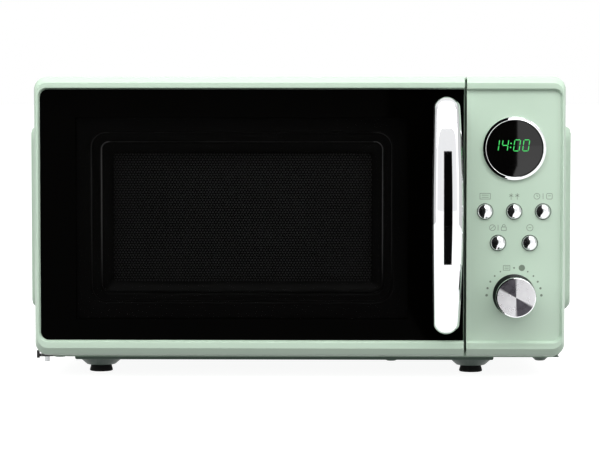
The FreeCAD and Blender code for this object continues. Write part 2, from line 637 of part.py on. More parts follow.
def cord_gland():
    """Cord inlet bush, gripped by the rear panel."""
    bush = tube_y(GLAND_R, CORD_BORE_R, GLAND_X, GLAND_Z, REAR_Y - 9, REAR_Y)
    return fuse(bush, tube_y(9.0, CORD_BORE_R, GLAND_X, GLAND_Z, REAR_Y, REAR_Y + 4))


def rear_spacers():
    """Stand-offs that keep the back away from a wall."""
    spacers = []
    for x, z in SPACER_PLACES:
        foot = rod_y(9, x, z, REAR_Y, REAR_Y + 2)
        nose = Part.makeCone(7, 5, SPACER_END_Y - REAR_Y - 2, Vector(x, REAR_Y + 2, z), Vector(0, 1, 0))
        spacers.append(fuse(foot, nose))
    return group(spacers)


def casing_screws():
    screws = []
    for x, z in SCREW_PLACES:
        head = turned(((0, REAR_Y + 2.0), (1.6, REAR_Y + 2.0), (3.4, REAR_Y + 1.2), (3.8, REAR_Y),
                       (0, REAR_Y)), x, z)
        cross = block(x - 1.8, x + 1.8, REAR_Y + 1.0, REAR_Y + 3, z - 0.3, z + 0.3)
        cross_up = block(x - 0.3, x + 0.3, REAR_Y + 1.0, REAR_Y + 3, z - 1.8, z + 1.8)
        screws.append(cut(head, cross, cross_up))
    return group(screws)


def front_plate():
    """Steel front plate that carries the cavity, the hinges and the control panel."""
    plate = front_plate_shape(-CASING_HALF_W, CASING_HALF_W, CASING_BOTTOM, CASING_TOP, CAB_FRONT_Y,
                              CAB_FRONT_Y + SHEET, (9, 9, CORNER_R, CORNER_R))
    through = (CAB_FRONT_Y - 1, CAB_FRONT_Y + 3)
    tools = [block(*CAVITY_X, *through, *CAVITY_Z), block(152, 214, *through, 44, 232)]
    for arm_z in (LOWER_ARM_Z, UPPER_ARM_Z):
        tools.append(block(HINGE_X - 5, HINGE_X + 5, *through, arm_z, arm_z + 2))
    for hook_z in HOOK_Z:
        tools.append(block(*HOOK_SLOT_X, *through, hook_z - 5, hook_z + 13))
    return cut(plate, *tools)


# ---- cavity ----

def cavity():
    x0, x1 = CAVITY_X
    z0, z1 = CAVITY_Z
    y0 = CAB_FRONT_Y + SHEET
    outer = front_plate_shape(x0 - SHEET, x1 + SHEET, z0 - SHEET, z1 + SHEET,
                              y0, CAVITY_REAR_Y + SHEET, 3)
    inner = front_plate_shape(x0, x1, z0, z1, y0 - 1, CAVITY_REAR_Y, 2)
    tools = [inner, rod_z(6, TABLE_X, TABLE_Y, z0 - 3, z0 + 3),
             block(x1 - 1, x1 + 3, WAVE_Y[0] + 15, WAVE_Y[1] - 15, 145, 200)]
    for first_y, first_z in ((LAMP_Y - 12, LAMP_Z - 9), (-58, 160)):
        for row in range(4):
            for column in range(5):
                y = first_y + 6 * column
                z = first_z + 6 * row
                tools.append(rod(1.6, Vector(x1 - 1, y, z), Vector(x1 + 3, y, z)))
    return cut(outer, *tools)


def waveguide_cover():
    x1 = CAVITY_X[1]
    return side_plate_shape(x1 - 0.6, x1, WAVE_Y[0] + 5, WAVE_Y[1] - 5, 136, 208, 5)


def glass_turntable():
    """Glass plate with a raised rim and three drive ribs under its middle."""
    z = PLATE_BOTTOM_Z
    profile = ((0, z), (PLATE_R - 14, z), (PLATE_R - 4, z + 5), (PLATE_R, z + 10),
               (PLATE_R - 1.5, z + 11.5), (PLATE_R - 4.5, z + 10), (PLATE_R - 8, z + 7.5),
               (PLATE_R - 16, z + 4), (0, z + 4))
    plate = turned_z(profile, TABLE_X, TABLE_Y)
    ribs = []
    for step in range(3):
        rib = block(14, 20, -3, 3, z - 4, z)
        rib.rotate(Vector(0, 0, 0), Vector(0, 0, 1), 120 * step + 60)
        rib.translate(TABLE_CENTRE)
        ribs.append(rib)
    return fuse(plate, *ribs)


def drive_coupler():
    """Three-lobed drive under the glass plate, on a stem through the cavity floor."""
    top = PLATE_BOTTOM_Z
    hub = rod_z(7, TABLE_X, TABLE_Y, CAVITY_Z[0] + 1, top)
    lobes = []
    for step in range(3):
        lobe = block(0, 17, -4, 4, top - 7, top)
        lobe.rotate(Vector(0, 0, 0), Vector(0, 0, 1), 120 * step)
        lobe.translate(TABLE_CENTRE)
        lobes.append(lobe)
    stem = rod_z(3.5, TABLE_X, TABLE_Y, 17, CAVITY_Z[0] + 1)
    return fuse(hub, stem, *lobes)


def on_roller_axle(number, distance):
    """Point on the axle of one of the three rollers, at a distance from the middle of the table."""
    angle = math.radians(120 * number + 30)
    way = Vector(math.cos(angle), math.sin(angle), 0)
    return TABLE_CENTRE + Vector(0, 0, ROLLER_AXIS_Z) + way * distance


def roller_ring():
    """Plastic ring with three headed axles on its outside, one for each roller."""
    ring = tube_z(86, 80, TABLE_X, TABLE_Y, ROLLER_AXIS_Z - 4, ROLLER_AXIS_Z + 4)
    axles = []
    for number in range(3):
        axles.append(rod(2.5, on_roller_axle(number, 83), on_roller_axle(number, ROLLER_TRACK_R + 5)))
        axles.append(rod(4.0, on_roller_axle(number, ROLLER_TRACK_R + 4.6),
                         on_roller_axle(number, ROLLER_TRACK_R + 6.6)))
    return fuse(ring, *axles)


def roller(number):
    start = on_roller_axle(number, ROLLER_TRACK_R - 4)
    end = on_roller_axle(number, ROLLER_TRACK_R + 4)
    return rod(ROLLER_R, start, end).cut(rod(2.55, start, end))


def turntable_motor():
    """Flat synchronous motor hung under the cavity floor."""
    can = rod_z(25, TABLE_X, TABLE_Y, 12, CAVITY_Z[0] - SHEET)
    ears = block(TABLE_X - 33, TABLE_X + 33, TABLE_Y - 5, TABLE_Y + 5, CAVITY_Z[0] - SHEET - 1.5,
                 CAVITY_Z[0] - SHEET)
    tag = block(TABLE_X - 8, TABLE_X + 8, TABLE_Y + 22, TABLE_Y + 36, 14, 22)
    return fuse(can, ears, tag).cut(rod_z(3.55, TABLE_X, TABLE_Y, 16.5, CAVITY_Z[0]))


def cavity_lamp():
    socket = block(BAY_X, BAY_X + 12, LAMP_Y - 15, LAMP_Y + 15, LAMP_Z - 12, LAMP_Z + 12)
    socket = socket.cut(block(BAY_X - 1, BAY_X + 9, LAMP_Y - 13, LAMP_Y + 13, LAMP_Z - 10, LAMP_Z + 10))
    base = rod(7, Vector(BAY_X + 9, LAMP_Y, LAMP_Z), Vector(BAY_X + 30, LAMP_Y, LAMP_Z))
    bulb = rod(5, Vector(BAY_X + 2, LAMP_Y, LAMP_Z), Vector(BAY_X + 9.5, LAMP_Y, LAMP_Z))
    return fuse(socket, base, bulb)


# ---- electronics bay ----

def interlock_bracket():
    """Moulded bracket beside the latch slots, with a shelf under each hook."""
    web = block(104, 107, CAB_FRONT_Y + SHEET, -68, 40, 222)
    flange = block(104, 118, CAB_FRONT_Y + SHEET, CAB_FRONT_Y + SHEET + 2.5, 40, 222)
    shelves = [block(104, 136, -108, -94, hook_z - 9, hook_z - 6) for hook_z in HOOK_Z]
    return fuse(web, flange, *shelves)


def interlock_switches():
    """Micro switches on the bracket: door sense, primary and monitor."""
    switches = []
    for z in (HOOK_Z[0] + 16, HOOK_Z[0] + 38, HOOK_Z[1] - 36):
        body = block(107, 117.3, -102, -74.2, z, z + 15.9)
        lever = block(110, 114, -107, -102, z + 10, z + 11)
        tags = [block(111, 113, y, y + 4, z - 5, z) for y in (-98, -89, -80)]
        switches.append(fuse(body, lever, *tags))
    return group(switches)


def waveguide():
    outer = block(BAY_X, BAY_X + 24, *WAVE_Y, *WAVE_Z)
    inner = block(BAY_X - 1, BAY_X + 23, WAVE_Y[0] + 1, WAVE_Y[1] - 1, WAVE_Z[0] + 1, WAVE_Z[1] - 1)
    antenna_y = sum(WAVE_Y) / 2
    antenna_z = sum(MAGNETRON_Z) / 2
    hole = rod(13, Vector(BAY_X + 20, antenna_y, antenna_z), Vector(BAY_X + 30, antenna_y, antenna_z))
    return cut(outer, inner, hole)


def magnetron():
    """Magnetron: antenna dome, magnet yoke round the finned anode, and filter box."""
    y = sum(WAVE_Y) / 2
    z0, z1 = MAGNETRON_Z
    z = (z0 + z1) / 2
    x0 = BAY_X + 24
    plate = block(x0, x0 + 2, y - 40, y + 40, z0 - 3, z1 + 3)
    antenna = rod(9, Vector(x0 - 20, y, z), Vector(x0 + 1, y, z))
    neck = rod(12.5, Vector(x0 - 6, y, z), Vector(x0 + 1, y, z))
    anode = rod(17, Vector(x0 + 2, y, z), Vector(x0 + 52, y, z))
    across = (y - MAGNETRON_HALF_D, y + MAGNETRON_HALF_D)
    yoke = [block(x0 + 2, x0 + 52, *across, z0, z0 + 2), block(x0 + 2, x0 + 52, *across, z1 - 2, z1),
            block(x0 + 50, x0 + 52, *across, z0, z1)]
    fins = [block(x, x + 1, *across, z0 + 2, z1 - 2) for x in range(int(x0) + 9, int(x0) + 42, 8)]
    box = block(x0 + 52, x0 + 78, y - 24, y + 24, z - 22, z + 22)
    terminals = [block(x0 + 78, x0 + 86, end - 3, end + 3, z - 1, z) for end in (y - 8, y + 8)]
    return fuse(plate, antenna, neck, anode, box, *yoke, *fins, *terminals)


def transformer():
    """High voltage transformer: laminated core on a base flange, with its windings."""
    core = block(128, 216, -92, -34, BASE_TOP + 2, 82)
    flange = block(122, 220, -96, -30, BASE_TOP, BASE_TOP + 2)
    windings = front_plate_shape(146, 198, 24, 70, -104, -22, 8)
    return fuse(core, flange, windings)


def capacitor():
    """Flat-sided oil capacitor, lying down, with its tags and the strap that holds it."""
    height = 32
    can = front_plate_shape(108, 160, BASE_TOP + 2, BASE_TOP + 2 + height, 24, 112, height / 2 - 0.1)
    tags = [block(x - 3, x + 3, 15, 24, BASE_TOP + 20, BASE_TOP + 21) for x in (124, 144)]
    strap = block(104, 164, 62, 76, BASE_TOP, BASE_TOP + 2)
    return fuse(can, strap, *tags)


def high_voltage_diode():
    body = rod_y(3.6, 178, BASE_TOP + 6, 40, 62)
    lead = rod_y(0.7, 178, BASE_TOP + 6, 24, 40)
    strap = block(175, 181, 62, 74, BASE_TOP, BASE_TOP + 1)
    riser = block(175, 181, 61, 62, BASE_TOP, BASE_TOP + 9)
    return fuse(body, lead, riser, strap)


def filter_board():
    """Mains filter board on the shroud: fuse, choke and film capacitors."""
    z = 231.0
    board = block(112, 212, SHROUD_Y + 4, 168, z, z + 1.6)
    fuse_body = rod(3, Vector(120, SHROUD_Y + 12, z + 5), Vector(142, SHROUD_Y + 12, z + 5))
    clips = [block(x, x + 4, SHROUD_Y + 8, SHROUD_Y + 16, z + 1.6, z + 4) for x in (120, 138)]
    choke = block(152, 172, SHROUD_Y + 10, SHROUD_Y + 32, z + 1.6, z + 15)
    film = [block(180, 205, y, y + 9, z + 1.6, z + 14) for y in (SHROUD_Y + 8, SHROUD_Y + 24)]
    return fuse(board, fuse_body, choke, *clips, *film)


def fan_shroud():
    """Sheet shroud from the rear panel to the fan opening, with legs for the motor."""
    y0 = SHROUD_Y
    y1 = REAR_Y - SHEET
    outer = block(102, 222, y0, y1, 70, 231)
    inner = block(103.5, 220.5, y0 + 1.5, y1 + 1, 71.5, 229.5)
    throat = rod_y(54, FAN_X, FAN_Z, y0 - 1, y0 + 3)
    shell = cut(outer, inner, throat)
    arms = []
    for side in (-1, 1):
        x = FAN_X + side * 28
        arms.append(block(x - 4, x + 4, 146, 148, 71, 230))
    return fuse(shell, *arms)


def fan_motor():
    """Shaded-pole motor bolted to the arms of the shroud."""
    core = block(FAN_X - 32, FAN_X + 32, 148, 162, FAN_Z - 24, FAN_Z + 24)
    coil = block(FAN_X - 16, FAN_X + 16, 146, 166, FAN_Z - 46, FAN_Z - 24)
    bush = rod_y(8, FAN_X, FAN_Z, 142, 148)
    return fuse(core, coil, bush).cut(rod_y(2.05, FAN_X, FAN_Z, 141, 159))


def fan_shaft():
    return rod_y(2, FAN_X, FAN_Z, 122, 158)


def fan_blade():
    """Five pitched blades on a hub."""
    hub = rod_y(12, FAN_X, FAN_Z, 121, 139)
    blades = []
    for step in range(5):
        blade = block(-11, 11, -0.8, 0.8, 8, 49)
        blade.rotate(Vector(0, 0, 0), Vector(0, 0, 1), 32)
        blade.translate(Vector(0, 130, 0))
        blade.rotate(Vector(0, 130, 0), Vector(0, 1, 0), 72 * step)
        blade.translate(Vector(FAN_X, 0, FAN_Z))
        blades.append(blade)
    return fuse(hub, *blades).cut(rod_y(2, FAN_X, FAN_Z, 120, 140))


def air_duct():
    """Moulded duct that leads warmed air from the magnetron to the cavity wall."""
    outer = block(BAY_X, BAY_X + 46, -66, WAVE_Y[0] - 1, 134, 208)
    inner = block(BAY_X - 1, BAY_X + 44, -64, WAVE_Y[0], 136, 206)
    return outer.cut(inner)


def thermal_cutouts():
    """Two snap-action discs: one on the cavity wall, one on the magnetron plate."""
    cutouts = []
    for x, y, z in ((BAY_X, 84, 110), (BAY_X, -50, 110)):
        can = rod(8, Vector(x, y, z), Vector(x + 6, y, z))
        body = rod(7, Vector(x + 6, y, z), Vector(x + 12, y, z))
        tags = block(x + 12, x + 19, y - 5, y - 4, z - 3, z + 3)
        more = block(x + 12, x + 19, y + 4, y + 5, z - 3, z + 3)
        cutouts.append(fuse(can, body, tags, more))
    return group(cutouts)


def build():
    parts = {}
    holes = handle_screw_holes()
    parts["door_frame"] = fuse(door_frame().cut(holes), spring_cup())
    parts["door_glass"] = door_glass().cut(holes)
    parts["window_plate"] = window_plate()
    parts["screen_mesh"] = screen_mesh()
    parts["choke_cover"] = choke_cover()
    parts["inner_film"] = inner_film()
    parts["handle"] = handle()
    parts["handle_screws"] = handle_screws()
    parts["door_latch"] = door_latch()
    parts["latch_spring"] = latch_spring()
    parts["hinge_brackets"] = group((lower_hinge_bracket(),
                                     hinge_bracket(UPPER_ARM_Z, 222, 239)))
    parts["hinge_pins"] = hinge_pins()
    parts["control_panel"] = control_panel()
    parts["display_ring"] = display_ring()
    parts["display_lens"] = display_lens()
    parts["display_module"] = display_module()
    parts["control_board"] = control_board()
    parts["tact_switches"] = tact_switches()
    for number, (x, z) in enumerate(BUTTON_PLACES, 1):
        parts["button_%d" % number] = push_button(x, z)
    parts["knob_collar"] = knob_collar()
    parts["knob"] = knob()
    parts["knob_face"] = knob_face()
    parts["knob_shaft"] = knob_shaft()
    parts["knob_encoder"] = knob_encoder()
    parts["outer_casing"] = outer_casing()
    parts["base_plate"] = base_plate()
    parts["rubber_feet"] = rubber_feet()
    parts["rear_panel"] = rear_panel()
    parts["cord_gland"] = cord_gland()
    parts["rear_spacers"] = rear_spacers()
    parts["casing_screws"] = casing_screws()
    parts["front_plate"] = front_plate()
    parts["cavity"] = cavity()
    parts["waveguide_cover"] = waveguide_cover()
    parts["glass_turntable"] = glass_turntable()
    parts["drive_coupler"] = drive_coupler()
    parts["roller_ring"] = roller_ring()
    for number in (1, 2, 3):
        parts["roller_%d" % number] = roller(number)
    parts["turntable_motor"] = turntable_motor()
    parts["cavity_lamp"] = cavity_lamp()
    parts["interlock_bracket"] = interlock_bracket()
    parts["interlock_switches"] = interlock_switches()
    parts["waveguide"] = waveguide()
    parts["magnetron"] = magnetron()
    parts["transformer"] = transformer()
    parts["capacitor"] = capacitor()
    parts["high_voltage_diode"] = high_voltage_diode()
    parts["filter_board"] = filter_board()
    parts["fan_shroud"] = fan_shroud()
    parts["fan_motor"] = fan_motor()
    parts["fan_shaft"] = fan_shaft()
    parts["fan_blade"] = fan_blade()
    parts["air_duct"] = air_duct()
    parts["thermal_cutouts"] = thermal_cutouts()
    return parts


os.makedirs("parts", exist_ok=True)
for node, shape in build().items():
    for solid in shape.Solids:
        if not solid.isValid() or solid.Volume <= 0:
            raise ValueError("%s has a bad solid" % node)
    shape.translate(Vector(0, 0, DATUM_HEIGHT))
    shape.exportStep("parts/%s.step" % node)
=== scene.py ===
import json
import math

import bmesh
import bpy
from mathutils import Matrix, Vector


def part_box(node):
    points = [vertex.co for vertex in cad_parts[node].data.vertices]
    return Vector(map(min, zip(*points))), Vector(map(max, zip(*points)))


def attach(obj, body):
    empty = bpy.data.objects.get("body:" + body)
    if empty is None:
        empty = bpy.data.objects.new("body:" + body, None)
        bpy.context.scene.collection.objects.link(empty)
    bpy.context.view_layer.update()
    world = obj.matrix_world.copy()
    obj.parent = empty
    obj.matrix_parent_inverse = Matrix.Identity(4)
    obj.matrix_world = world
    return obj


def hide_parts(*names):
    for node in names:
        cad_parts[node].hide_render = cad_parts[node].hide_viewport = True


# A retro countertop microwave oven: mint door and control panel behind one raised lip, black glass,
# a bowed chrome handle, a round clock display, five chrome buttons and a spun aluminium knob.
# Metres throughout; +X is right, the door faces -Y and +Z is up.

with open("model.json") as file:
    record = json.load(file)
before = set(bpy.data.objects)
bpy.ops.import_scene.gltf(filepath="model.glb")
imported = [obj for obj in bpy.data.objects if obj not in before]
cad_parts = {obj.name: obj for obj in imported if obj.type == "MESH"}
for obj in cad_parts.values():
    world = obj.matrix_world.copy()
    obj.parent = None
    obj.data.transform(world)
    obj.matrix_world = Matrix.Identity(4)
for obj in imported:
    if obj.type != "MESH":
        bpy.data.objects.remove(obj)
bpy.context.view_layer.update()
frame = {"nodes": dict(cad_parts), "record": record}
nodes = frame["nodes"]

MM = 0.001
TURN = 2 * math.pi


def centre(node):
    low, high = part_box(node)
    return (low + high) / 2


# ---- levels taken from the frame ----
door_low, door_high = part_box("door_frame")
panel_low, panel_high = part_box("control_panel")
glass_low, glass_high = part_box("door_glass")
plate_low, plate_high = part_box("window_plate")
screen_low, screen_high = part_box("screen_mesh")
LIP_Y = door_low.y
FACE_Y = glass_low.y

# window steps (left, right, low, high in millimetres) and the size of each step
WINDOW_OUTER = (-178.8, 79.2, 66.0, 211.5)
WINDOW_INNER = (-170.6, 71.6, 73.0, 203.6)
STEP_DEPTH = 6 * MM
STEP_EDGE = 2.2 * MM


# ---------------------------------------------------------------- finishes

class Number:
    """A number that varies over a surface; sums on it add Math nodes."""

    def __init__(self, finish, socket):
        self.finish = finish
        self.socket = socket

    def __add__(self, other):
        return self.finish.math("ADD", self, other)

    def __radd__(self, other):
        return self.finish.math("ADD", other, self)

    def __sub__(self, other):
        return self.finish.math("SUBTRACT", self, other)

    def __rsub__(self, other):
        return self.finish.math("SUBTRACT", other, self)

    def __mul__(self, other):
        return self.finish.math("MULTIPLY", self, other)

    def __rmul__(self, other):
        return self.finish.math("MULTIPLY", other, self)

    def __gt__(self, other):
        return self.finish.math("GREATER_THAN", self, other)

    def __abs__(self):
        return self.finish.math("ABSOLUTE", self)


class Finish:
    """A material for one of the oven's finishes."""

    def __init__(self, name):
        self.material = bpy.data.materials.new(name)
        self.material.use_nodes = True
        self.tree = self.material.node_tree
        self.tree.nodes.clear()
        self.place = self.add("ShaderNodeTexCoord").outputs["Object"]

    def add(self, kind, settings=None, inputs=None):
        node = self.tree.nodes.new(kind)
        for key, value in (settings or {}).items():
            setattr(node, key, value)
        for key, value in (inputs or {}).items():
            if isinstance(value, Number):
                value = value.socket
            if isinstance(value, bpy.types.NodeSocket):
                self.tree.links.new(value, node.inputs[key])
            else:
                node.inputs[key].default_value = value
        return node

    def math(self, operation, first, second=0.0):
        node = self.add("ShaderNodeMath", {"operation": operation}, {0: first, 1: second})
        return Number(self, node.outputs[0])

    def largest(self, first, second):
        return self.math("MAXIMUM", first, second)

    def noise(self, scale, detail=2.0, stretch=(1, 1, 1)):
        place = self.place
        if stretch != (1, 1, 1):
            mapping = self.add("ShaderNodeMapping", None, {"Vector": place, "Scale": stretch})
            place = mapping.outputs[0]
        node = self.add("ShaderNodeTexNoise", None,
                        {"Vector": place, "Scale": scale, "Detail": detail})
        return Number(self, node.outputs["Fac"])

    def axes(self):
        node = self.add("ShaderNodeSeparateXYZ", None, {"Vector": self.place})
        return [Number(self, socket) for socket in node.outputs]

    def mix(self, amount, first, second):
        node = self.add("ShaderNodeMix", {"data_type": "RGBA"}, {0: amount, 6: first, 7: second})
        return node.outputs[2]

    def bump(self, height, distance):
        node = self.add("ShaderNodeBump", None,
                        {"Height": height, "Distance": distance, "Strength": 1.0})
        return node.outputs["Normal"]

    def shade(self, **sockets):
        inputs = {key.replace("_", " "): value for key, value in sockets.items()}
        shader = self.add("ShaderNodeBsdfPrincipled", None, inputs)
        self.add("ShaderNodeOutputMaterial", None, {"Surface": shader.outputs[0]})
        return self.material


def paint_tone(red, green, blue):
    """Linear colour of an eight-bit screen colour."""
    return tuple((value / 255) ** 2.2 for value in (red, green, blue)) + (1.0,)


def toned(colour, factor):
    return tuple(min(channel * factor, 1.0) for channel in colour[:3]) + (1.0,)


def plain_finish(name, colour, rough, metal=0.0, coat=0.0, tone=0.08, patch=45.0, grain=900.0,
                 depth=0.02, spread=0.08, specular=0.5):
    """A solid finish with soft cloudy variation, fine grain and a matching change of gloss."""
    finish = Finish(name)
    cloud = finish.noise(patch, 3.0)
    fine = finish.noise(grain, 2.0)
    blend = cloud * 0.6 + fine * 0.4
    return finish.shade(
        Base_Color=finish.mix(blend, toned(colour, 1 - tone), toned(colour, 1 + tone)),
        Roughness=rough - spread / 2 + blend * spread,
        Metallic=metal,
        Coat_Weight=coat,
        Coat_Roughness=0.03,
        Specular_IOR_Level=specular,
        Normal=finish.bump(fine, depth * MM),
    )


MINT = paint_tone(191, 214, 194)


def mint_finish(name, peel, rough, coat, specular):
    """Mint paint: clear coat over a base with faint orange peel."""
    finish = Finish(name)
    cloud = finish.noise(14.0, 3.0)
    fine = finish.noise(peel, 1.5)
    return finish.shade(
        Base_Color=finish.mix(cloud, toned(MINT, 0.97), toned(MINT, 1.02)),
        Roughness=rough + cloud * 0.06 + fine * 0.03,
        Coat_Weight=coat,
        Coat_Roughness=0.05,
        Specular_IOR_Level=specular,
        Normal=finish.bump(fine, 0.012 * MM),
    )


def printed_glass():
    """Door glass: black print round a lightly smoked window."""
    finish = Finish("printed_door_glass")
    across, _, up = finish.axes()
    low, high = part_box("screen_mesh")
    reach = 26 * MM
    side = abs(across - (low.x + high.x) / 2) - ((high.x - low.x) / 2 + reach)
    height = abs(up - (low.z + high.z) / 2) - ((high.z - low.z) / 2 + reach)
    printed = finish.largest(side, height) > 0.0
    haze = finish.noise(30.0, 3.0)
    return finish.shade(
        Base_Color=finish.mix(haze, (0.0003, 0.0003, 0.0002, 1),
                              (0.0007, 0.0006, 0.0005, 1)),
        Roughness=0.03 + haze * 0.03,
        Alpha=0.34 + printed * 0.66,
        Specular_IOR_Level=0.01,
        Normal=finish.bump(haze, 0.002 * MM),
    )


def window_enamel_painted_highlights():
    """Black enamel with painted highlights on its rounded step edges: whitish colour and metal
    there, strongest towards the top and at the sides.
    """
    finish = Finish("window_enamel_painted_highlights")
    across, depth, up = finish.axes()
    edges = None
    for level in (plate_low.y, plate_low.y + STEP_DEPTH):
        middle = level + STEP_EDGE * 0.5
        band = finish.math("LESS_THAN", abs(depth - middle), STEP_EDGE * 0.46)
        edges = band if edges is None else finish.largest(edges, band)
    x0, x1, z0, z1 = [value * MM for value in WINDOW_OUTER]
    reach = 16 * MM
    left = finish.math("LESS_THAN", across, x0 + reach)
    right = across > x1 - reach
    rise = finish.add("ShaderNodeMapRange", None, {
        "Value": up, "From Min": z0 + 14 * MM, "From Max": z1 - 20 * MM})
    fade = Number(finish, rise.outputs[0])
    inner = finish.math("GREATER_THAN", depth, plate_low.y + STEP_DEPTH)
    # painted highlight: a whitish base colour on the step edges, fading towards the bottom
    painted_highlight = edges * fade * (left * 0.3 + right * 0.3 + 0.1) * (inner * 1.5 + 0.5)
    grain = finish.noise(500.0, 2.0)
    return finish.shade(
        Base_Color=finish.mix(painted_highlight, (0.0009, 0.0008, 0.0007, 1), (1.0, 1.0, 1.0, 1)),
        Roughness=0.3 + grain * 0.06,
        Metallic=edges * fade,
        Specular_IOR_Level=0.08,
        Normal=finish.bump(grain, 0.004 * MM),
    )


def seen_through(name, colour, alpha, rough):
    finish = Finish(name)
    haze = finish.noise(40.0, 3.0)
    return finish.shade(
        Base_Color=finish.mix(haze, toned(colour, 0.94), toned(colour, 1.04)),
        Roughness=rough + haze * 0.05,
        Alpha=alpha - 0.02 + haze * 0.04,
        Normal=finish.bump(haze, 0.01 * MM),
    )


def laminated_core():
    """Varnished transformer steel: stacked sheets and blotchy varnish."""
    finish = Finish("varnished_laminations")
    sheet_pitch = 0.9 * MM
    _, along, _ = finish.axes()
    sheets = finish.math("SINE", along * (TURN / sheet_pitch)) * 0.5 + 0.5
    blotch = finish.noise(60.0, 4.0)
    return finish.shade(
        Base_Color=finish.mix(blotch, (0.05, 0.042, 0.038, 1), (0.11, 0.095, 0.085, 1)),
        Roughness=0.42 + blotch * 0.2,
        Metallic=0.6,
        Normal=finish.bump(sheets, 0.08 * MM),
    )


def solder_resist():
    """Green board with lighter copper areas under the lacquer."""
    finish = Finish("solder_resist")
    copper = finish.noise(120.0, 1.0, (1, 1, 0.4)) > 0.52
    speck = finish.noise(700.0, 2.0)
    return finish.shade(
        Base_Color=finish.mix(copper * 0.7 + speck * 0.3,
                              (0.012, 0.09, 0.03, 1), (0.04, 0.19, 0.07, 1)),
        Roughness=0.34 + speck * 0.12,
        Normal=finish.bump(copper, 0.05 * MM),
    )


def spun_face_painted_fans():
    """Spun aluminium with painted reflections: two opposite dark fans between bright ones, painted
    into the base colour with soft edges.
    """
    finish = Finish("spun_aluminium")
    painted_fan_angle = math.radians(121)
    middle = centre("knob")
    across, _, up = finish.axes()
    side, rise = across - middle.x, up - middle.z
    around = finish.math("ARCTAN2", rise, side)
    fan = finish.math("COSINE", (around - painted_fan_angle) * 2)
    # painted reflections: dark fans and bright ones in the base colour, fixed to the knob
    dark = finish.add("ShaderNodeMapRange", {"interpolation_type": "SMOOTHSTEP"},
                      {"Value": fan, "From Min": 0.28, "From Max": 0.66}).outputs[0]
    fine = finish.noise(160.0, 2.0)
    painted_bright_fan = finish.mix(fine, (0.84, 0.83, 0.86, 1), (0.95, 0.94, 0.96, 1))
    painted_dark_fan = finish.mix(fine, (0.04, 0.036, 0.045, 1), (0.16, 0.15, 0.17, 1))
    return finish.shade(
        Base_Color=finish.mix(dark, painted_bright_fan, painted_dark_fan),
        Roughness=0.24 + fine * 0.08,
        Metallic=1.0,
        Normal=finish.bump(fine, 0.0005 * MM),
    )


def lit_segments():
    finish = Finish("lit_segments")
    glow = finish.noise(500.0, 1.0)
    return finish.shade(
        Base_Color=(0.02, 0.3, 0.08, 1),
        Roughness=0.4 + glow * 0.1,
        Emission_Color=finish.mix(glow, (0.025, 0.38, 0.05, 1), (0.05, 0.55, 0.09, 1)),
        Emission_Strength=1.0,
    )


FINISHES = {
    "mint_plastic": mint_finish("mint_moulding", 260.0, 0.26, 0.55, 0.45),
    "mint_steel": mint_finish("mint_enamel", 420.0, 0.42, 0.05, 0.15),
    "door_glass": printed_glass(),
    "chrome": plain_finish("bright_chrome", (0.83, 0.835, 0.85, 1), 0.035, 1.0, tone=0.02,
                           grain=500.0, depth=0.0006, spread=0.03),
    # knob face: spun aluminium with painted dark and bright reflection fans
    "spun_aluminium": spun_face_painted_fans(),
    "black_plastic": plain_finish("black_moulding", (0.016, 0.016, 0.015, 1), 0.42, tone=0.2,
                                  depth=0.03),
    "black_steel": plain_finish("black_enamel", (0.0035, 0.0033, 0.003, 1), 0.3, tone=0.2,
                                grain=500.0, specular=0.3),
    "grey_plastic": plain_finish("grey_moulding", (0.17, 0.178, 0.185, 1), 0.46, depth=0.03),
    "white_plastic": plain_finish("white_moulding", (0.68, 0.68, 0.64, 1), 0.4, tone=0.04),
    "zinc_steel": plain_finish("zinc_plate", (0.5, 0.51, 0.52, 1), 0.34, 1.0, tone=0.14,
                               patch=140.0, grain=260.0, depth=0.015, spread=0.2),
    "cavity_enamel": plain_finish("cavity_enamel", (0.34, 0.35, 0.34, 1), 0.3, tone=0.06,
                                  grain=1400.0, coat=0.3),
    "clear_film": seen_through("clear_film", (0.5, 0.52, 0.53, 1), 0.14, 0.16),
    "clear_glass": seen_through("pressed_glass", (0.62, 0.72, 0.7, 1), 0.42, 0.06),
    "display_lens": plain_finish("smoked_lens", (0.0015, 0.0013, 0.0012, 1), 0.06, tone=0.2,
                                 grain=200.0, depth=0.001, spread=0.04, coat=0.2),
    "rubber": plain_finish("foot_rubber", (0.003, 0.003, 0.003, 1), 0.6, tone=0.2, depth=0.04,
                           specular=0.12),
    "circuit_board": solder_resist(),
    "lamination": laminated_core(),
    "mica": plain_finish("pressed_mica", (0.52, 0.44, 0.31, 1), 0.38, tone=0.16, patch=220.0,
                         grain=700.0, depth=0.05),
    "lamp": plain_finish("lamp_ceramic", (0.74, 0.72, 0.66, 1), 0.5, tone=0.05, depth=0.04),
}
LIT = lit_segments()
# black enamel with painted highlights on the window's step edges
WINDOW_BLACK_PAINTED_HIGHLIGHTS = window_enamel_painted_highlights()
SCREEN_BLACK = plain_finish("screen_enamel", (0.0012, 0.0011, 0.001, 1), 0.36, tone=0.2,
                            grain=500.0, specular=0.12)
BUTTON_CHROME = plain_finish("button_chrome", (0.86, 0.865, 0.88, 1), 0.13, 1.0, tone=0.02,
                             grain=500.0, depth=0.0006, spread=0.03)
PRINT = plain_finish("grey_green_print", paint_tone(112, 128, 112), 0.5, tone=0.05,
                     grain=1200.0, depth=0.004)
# painted shadow: near-black rings that stand for the shade in the gaps round the buttons
SHADOW_GAP = plain_finish("button_bezel", (0.006, 0.008, 0.006, 1), 0.35, tone=0.2)
# painted shade: the base pan's mint enamel is given a dark grey-green, as if in the shade under the
# oven
UNDERSIDE_PAINTED_SHADE = plain_finish("underside_enamel_painted_shade", paint_tone(74, 92, 82), 0.4, tone=0.06, grain=420.0,
                         depth=0.012, specular=0.3)
